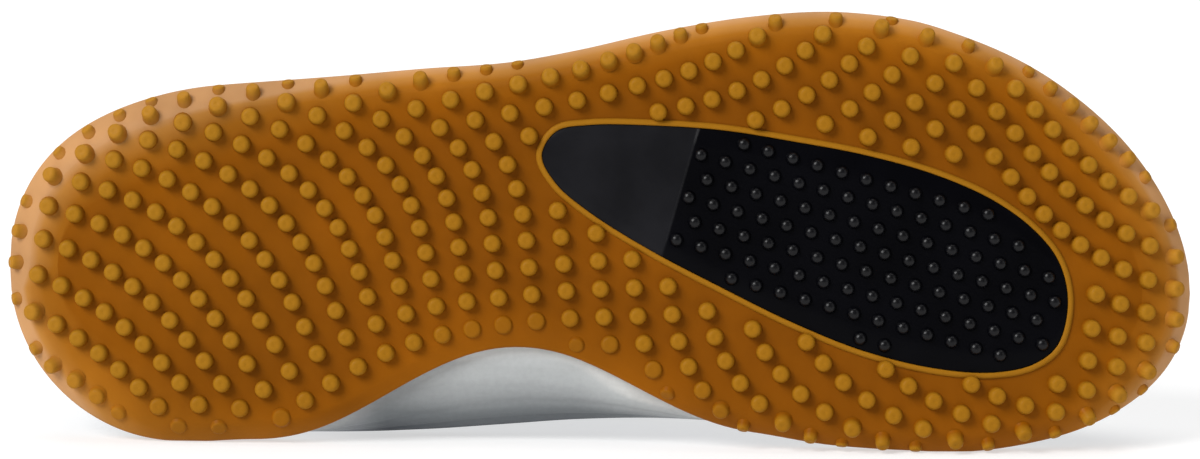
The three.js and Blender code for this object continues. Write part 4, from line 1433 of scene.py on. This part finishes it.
def overlay_path(rows, side):
    """Line just inside the edge of an overlay."""
    path = []
    for step in range(EDGE_PATH_STEPS + 1):
        at = mix(rows[0]["at"], rows[-1]["at"], step / EDGE_PATH_STEPS)
        turn = column(rows, "turn", at) - 0.03
        if turn > 0.02:
            path.append(last_point(at, side, turn, creases(at, turn) - OVERLAY_PROUD))
    return path


def level_path(side, first, last, turn, proud):
    """Line along the upper at one turn of its sections."""
    stops = [mix(first, last, k / LEVEL_PATH_STEPS) for k in range(LEVEL_PATH_STEPS + 1)]
    return [last_point(at, side, turn, -proud) for at in stops]


def eyestay_path(side, share):
    """Line inside the eyestay's edge, round its front to the ridge."""
    proud = EYESTAY_STEP + STITCH_PROUD
    path = level_path(side, 0.4, THROAT_FRONT, 1 - share * EYESTAY_REACH, proud)
    for k in range(1, 31):
        angle = math.pi / 2 * k / 30
        at = THROAT_FRONT + share * (EYESTAY_FRONT - THROAT_FRONT) * math.sin(angle)
        path.append(last_point(at, side, 1 - share * EYESTAY_REACH * math.cos(angle), -proud))
    return path


def stitches():
    sheet = Sheet()
    for side in (LATERAL, MEDIAL):
        for rows in OVERLAYS.values():
            stitch_row(sheet, overlay_path(rows, side))
        stitch_row(sheet, eyestay_path(side, 0.8))
        stitch_row(sheet, level_path(side, 0.425, 0.735, 0.972, EYESTAY_STEP + STITCH_PROUD))
        stitch_row(sheet, level_path(side, 0.0, EYESTAY_BACK, 0.86, STITCH_PROUD))
    make("stitches", sheet, THREAD, nodes=("upper",))


# Collar: a padded roll along the opening's edge

COLLAR_ROUND = 3.1
COLLAR_SIDES = 16
COLLAR_STOPS = 90


def collar_roll():
    """Rings round the opening's edge; each ends on its first place again, for the weave's sake."""
    sheet = Sheet("along", "around")
    shares = end_spaced(COLLAR_STOPS)
    stops = [(share, LATERAL) for share in shares[::-1]] + [(share, MEDIAL) for share in shares[1:]]
    rings = []
    run = 0
    last = None
    for share, side in stops:
        at = share * COLLAR_FRONT
        edge = last_point(at, side, 1, UPPER_WALL / 2)
        below = last_point(at, side, 0.93, UPPER_WALL / 2)
        outside = last_point(at, side, 1, 0)
        inside = last_point(at, side, 1, UPPER_WALL)
        up = (edge - below).normalized()
        across_wall = outside - inside
        out = (across_wall - up * across_wall.dot(up)).normalized()
        if last is not None:
            run += (edge - last).length
        last = edge
        plump = COLLAR_ROUND * smoothstep(1 - share, 0, 0.12)
        ring = []
        for k in range(COLLAR_SIDES + 1):
            angle = 2 * math.pi * k / COLLAR_SIDES
            across = math.cos(angle) * (1.25 + plump * 0.62) - plump * 0.39
            rise = math.sin(angle) * (1.1 + plump * 0.85) - plump * 0.32
            place = edge + out * across + up * rise
            ring.append(sheet.add(place, along=run, around=angle * COLLAR_ROUND))
        rings.append(ring)
    sheet.grid(rings)
    sheet.face(*rings[0][:0:-1])
    sheet.face(*rings[-1][1:])
    make("collar_roll", sheet, LINING, nodes=("upper",), weld=1e-6)


# Eyelets

EYELET_SIDES = 20
PUNCH_REACH = (-6, 3)


def eyelet_places():
    places = []
    for row in range(LACE_ROWS):
        at = mix(TOP_EYELET, LOW_EYELET, row / (LACE_ROWS - 1))
        places += [(at, LATERAL), (at, MEDIAL)]
    return places


def eyelet_across(at, side):
    return side * (throat_half_gap(at, side) + EYELET_INSET)


def eyelet_axis(at, side):
    across = eyelet_across(at, side)
    outside = over_last(at, across, -EYESTAY_STEP)
    inside = over_last(at, across, UPPER_WALL)
    return outside, (outside - inside).normalized()


def punch_eyelets(shell):
    """Cuts the eyelets through the shell."""
    sheet = Sheet()
    for at, side in eyelet_places():
        outside, way = eyelet_axis(at, side)
        turn = Vector((0, 0, 1)).rotation_difference(way)
        sheet.tube([
            sheet.circle(outside, turn, EYELET_BORE / 2, rise, EYELET_SIDES) for rise in PUNCH_REACH
        ])
    mesh = bpy.data.meshes.new("punch")
    mesh.from_pydata([PLACE @ point for point in sheet.points], [], sheet.faces)
    punch = linked("punch", mesh)
    cut = shell.modifiers.new("eyelets", "BOOLEAN")
    cut.operation = "DIFFERENCE"
    cut.solver = "EXACT"
    cut.object = punch
    apply_modifiers(shell)
    bpy.data.objects.remove(punch)
    bpy.data.meshes.remove(mesh)


def apply_modifiers(piece):
    graph = bpy.context.evaluated_depsgraph_get()
    graph.update()
    made = bpy.data.meshes.new_from_object(piece.evaluated_get(graph))
    piece.modifiers.clear()
    old = piece.data
    piece.data = made
    bpy.data.meshes.remove(old)
    made.shade_smooth()


# Tongue

TONGUE_LEAVES = 0.39
TONGUE_TIP = 0.34
TONGUE_FRONT = 0.79
TONGUE_TAPER = 0.8
TONGUE_CORNER = 0.04
TONGUE_FLATTEN = 0.8
TONGUE_END = 0.5
CORNER_SHAPE = 2.6
FREE_BACK = 0.77
FREE_UP = 0.36
EDGE_THIN = 0.46


def tongue_point(at, share, depth):
    """The tongue follows the last, then rises free of it, flatter, to a rounded tip."""
    along = clamp((at - TONGUE_TIP) / (TONGUE_FRONT - TONGUE_TIP))
    corner = clamp((TONGUE_TIP + TONGUE_CORNER - at) / TONGUE_CORNER)
    across = share * TONGUE_WIDTH / 2 * mix(1, TONGUE_TAPER, along)
    across *= mix(TONGUE_END, 1, (1 - corner ** CORNER_SHAPE) ** (1 / CORNER_SHAPE))
    free = clamp((TONGUE_LEAVES - at) / (TONGUE_LEAVES - TONGUE_TIP))
    inward = UPPER_WALL + TONGUE_GAP + depth
    point = over_last(max(at, TONGUE_LEAVES), across, inward)
    crest = over_last(max(at, TONGUE_LEAVES), 0, inward)
    turned = depth * smoothstep(free, 0, 0.4)
    point.x -= (max(at, TONGUE_LEAVES) - at) * SOLE_LENGTH + FREE_BACK * turned
    point.z += FREE_UP * turned
    point.z += TONGUE_RISE * free + (crest.z - point.z) * TONGUE_FLATTEN * smoothstep(free, 0, 0.9)
    return point


def tongue_body():
    """Padded plate, thin at its edges, with a soft seam inside the edge."""
    sheet = Sheet("along", "around")
    stations = [mix(TONGUE_TIP, TONGUE_FRONT, (k / 80) ** 1.5) for k in range(81)]
    shares = [-1, -0.985, -0.95] + [k / 10 - 0.9 for k in range(19)] + [0.95, 0.985, 1]
    rings = []
    for k, at in enumerate(stations):
        end = min(k, 6) / 6
        run = at * SOLE_LENGTH
        front, back = [], []
        for share in shares:
            near = abs(share)
            thin = min((1 - math.sqrt(1 - near ** 6)) * 0.5 + (1 - end) ** 2 * 0.42, EDGE_THIN)
            seam = 0.5 * end * math.exp(-((near - 0.84) / 0.025) ** 2)
            outer = tongue_point(at, share, TONGUE_THICKNESS * thin + seam)
            inner = tongue_point(at, share, TONGUE_THICKNESS * (1 - thin))
            front.append(sheet.add(outer, along=run, around=share * TONGUE_WIDTH / 2))
            back.append(sheet.add(inner, along=run, around=(1 - share / 2) * TONGUE_WIDTH))
        closing = sheet.add(sheet.points[front[0]], along=run, around=1.5 * TONGUE_WIDTH)
        rings.append(front + back[::-1] + [closing])
    sheet.grid(rings)
    half = len(shares)
    for ring, flip in ((rings[0], True), (rings[-1], False)):
        sheet.grid([ring[:half], ring[half:-1][::-1]], flip=flip)
    piece = make("tongue_body", sheet, TONGUE, nodes=("tongue",), weld=1e-6)


# Insole: from its lower edge round to its hollow top, how far in, and the share
# of its thickness
INSOLE_PROFILE = (
    (0.5, 0), (0, 0.4 / INSOLE_THICKNESS), (0, 0.8), (0.35, 0.97), (0.9, 1),
    (1.8, 0.97), (4, 0.86), (8, 0.76), (12, 0.74),
)


def insole_body():
    sheet = Sheet("along", "around")

    def ring(extra, rise):
        made = []
        stops = [(at, LATERAL) for at in STATIONS[::2]] + [(at, MEDIAL) for at in STATIONS[-3:0:-2]]
        for at, side in stops:
            inset = column(UPPER, "inset", at) + FEATHER_TUCK + UPPER_WALL + SIDE_GAP + extra
            x, y = plan_point(at, side, inset, 0)
            height = top_height(x) + SEAT_GAP + rise * INSOLE_THICKNESS
            made.append(sheet.add((x, y, height), along=x, around=y))
        return made

    rings = [ring(extra, rise) for extra, rise in INSOLE_PROFILE]
    sheet.grid(rings, closed=True)
    for ends, steps, share in ((rings[-1], 6, INSOLE_PROFILE[-1][1]), (rings[0], 3, 0)):
        lift = SEAT_GAP + share * INSOLE_THICKNESS
        lid(sheet, ends, steps, lambda x, y, lift=lift: top_height(x) + lift)
    make("insole_body", sheet, INSOLE, nodes=("insole",), weld=1e-6)


# Laces

LACE_STEPS = 28
LACE_SIDES = 14
LACE_DIVE = 3.6
LACE_HUMP = 1.5
LACE_PINCH = 0.5
LACE_BUNCH = 1.5


def lace_path(start, end, over):
    """Points and normals of a strap from hole to hole; one of each crossing pair goes over."""
    points = []
    for k in range(LACE_STEPS + 1):
        t = k / LACE_STEPS
        at = mix(start[0], end[0], t)
        across = mix(start[1], end[1], t)
        from_hole = min(t, 1 - t)
        dive = LACE_DIVE * smoothstep(0.09 - from_hole, 0, 0.09)
        cross = LACE_HUMP * math.exp(-((t - 0.5) / 0.16) ** 2) if over else 0
        height = EYESTAY_STEP + LACE_GAP + LACE_THICKNESS / 2 + cross - dive
        up = over_last(at, across, -height)
        down = over_last(at, across, -height + 1)
        points.append((up, (up - down).normalized()))
    return points


def lace_strap(sheet, path):
    """Flat strap with round edges, pinched and thicker where it enters its holes."""
    rings = []
    run = 0
    for k, (point, normal) in enumerate(path):
        before = path[max(k - 1, 0)][0]
        after = path[min(k + 1, len(path) - 1)][0]
        way = (after - before).normalized()
        side = way.cross(normal).normalized()
        lift = side.cross(way).normalized()
        if k:
            run += (point - path[k - 1][0]).length
        t = k / (len(path) - 1)
        pinch = mix(LACE_PINCH, 1, smoothstep(min(t, 1 - t), 0.02, 0.16))
        width = LACE_WIDTH / 2 * pinch
        thick = LACE_THICKNESS / 2 * mix(LACE_BUNCH, 1, smoothstep(pinch, LACE_PINCH, 1))
        ring = []
        for n in range(LACE_SIDES):
            angle = 2 * math.pi * n / LACE_SIDES
            c, s = math.cos(angle), math.sin(angle)
            across = math.copysign(abs(c) ** 0.6, c) * width
            rise = math.copysign(abs(s) ** 0.8, s) * thick
            ring.append(sheet.add(point + side * across + lift * rise, along=run, around=across))
        rings.append(ring)
    sheet.tube(rings)


def laces():
    sheet = Sheet("along", "around")
    ends = [(at, eyelet_across(at, side)) for at, side in eyelet_places()]
    for row in range(LACE_ROWS - 1):
        lace_strap(sheet, lace_path(ends[2 * row], ends[2 * row + 3], row % 2 == 0))
        lace_strap(sheet, lace_path(ends[2 * row + 1], ends[2 * row + 2], row % 2 == 1))
    lace_strap(sheet, lace_path(ends[-2], ends[-1], False))
    make("lace_straps", sheet, LACE, nodes=("laces",))


# Stage

CAMERA_ELEVATION = 6.5
CAMERA_ROLL = 0.8
CAMERA_DISTANCE = 1.3
CAMERA_LENS = 154
CAMERA_TARGET = Vector((-0.0005, -0.0451, 0.0543))
FLOOR_REACH = 8
FLOOR_DROP = 0.0002
FLOOR_TONE = (0.45, 0.45, 0.45)
FLOOR_GLOW = 0.58
SKY_STRENGTH = 0.2


def camera():
    data = bpy.data.cameras.new("camera")
    data.lens = CAMERA_LENS
    data.sensor_width = 36
    data.clip_start = 0.01
    data.clip_end = 50
    eye = linked("camera", data)
    angle = math.radians(CAMERA_ELEVATION)
    back = Vector((0, -math.cos(angle), math.sin(angle)))
    eye.location = CAMERA_TARGET + back * CAMERA_DISTANCE
    eye.rotation_mode = "QUATERNION"
    level = (-back).to_track_quat("-Z", "Y")
    eye.rotation_quaternion = level @ Quaternion((0, 0, 1), math.radians(CAMERA_ROLL))
    bpy.context.scene.camera = eye


def area_light(name, place, size, power):
    data = bpy.data.lights.new(name, "AREA")
    data.shape = "RECTANGLE"
    data.size, data.size_y = size
    data.energy = power
    light = linked(name, data)
    light.location = place
    light.rotation_mode = "QUATERNION"
    light.rotation_quaternion = (CAMERA_TARGET - Vector(place)).to_track_quat("-Z", "Y")


def sun(name, source, strength, softness):
    """Sunlight from the way of source, with its softness as an angle in degrees."""
    data = bpy.data.lights.new(name, "SUN")
    data.energy = strength
    data.angle = math.radians(softness)
    light = linked(name, data)
    light.rotation_mode = "QUATERNION"
    light.rotation_quaternion = Vector(source).to_track_quat("Z", "Y")


def stage():
    mesh = bpy.data.meshes.new("floor")
    corners = [(x * FLOOR_REACH, y * FLOOR_REACH, 0) for x, y in ((-1, -1), (1, -1), (1, 1), (-1, 1))]
    mesh.from_pydata(corners, [], [(0, 1, 2, 3)])
    floor = linked("floor", mesh)
    floor.location.z = -FLOOR_DROP
    paint = Paint("floor", Roughness=0.9, Emission_Strength=FLOOR_GLOW)
    paint.shader.inputs["Base Color"].default_value = (*FLOOR_TONE, 1)
    paint.shader.inputs["Emission Color"].default_value = (1, 1, 1, 1)
    mesh.materials.append(paint.material)
    area_light("right_softbox", (1.0, -0.6, 0.5), (0.7, 0.9), 1.5)
    sun("key", (-0.56, -0.62, 0.58), 3.1, 32)
    sun("overhead", (0.1, 0.3, 0.95), 1.5, 60)
    world = bpy.data.worlds.new("world")
    world.use_nodes = True
    background = world.node_tree.nodes["Background"]
    background.inputs["Color"].default_value = (1, 1, 1, 1)
    background.inputs["Strength"].default_value = SKY_STRENGTH
    bpy.context.scene.world = world
    bpy.context.scene.view_settings.view_transform = "Standard"


GUM = gum_paint()
BLACK = black_rubber_paint()
FOAM = foam_paint()
MESH = mesh_cloth_paint()
LINING = cloth_paint("lining", (0.22, 0.235, 0.255), 1.4)
OVERLAY = overlay_paint()
THREAD = thread_paint()
TONGUE = cloth_paint("tongue_cloth", (0.48, 0.51, 0.54), 1.6)
INSOLE = cloth_paint("insole_cloth", (0.3, 0.32, 0.34), 1.8)
LACE = cloth_paint("lace_weave", (0.75, 0.76, 0.75), 2.2)

camera()
stage()
gum_shell()
gum_studs()
pad_plate()
pad_rim()
pad_studs()
midsole_body()
upper_body()
overlays()
stitches()
collar_roll()
tongue_body()
insole_body()
laces()
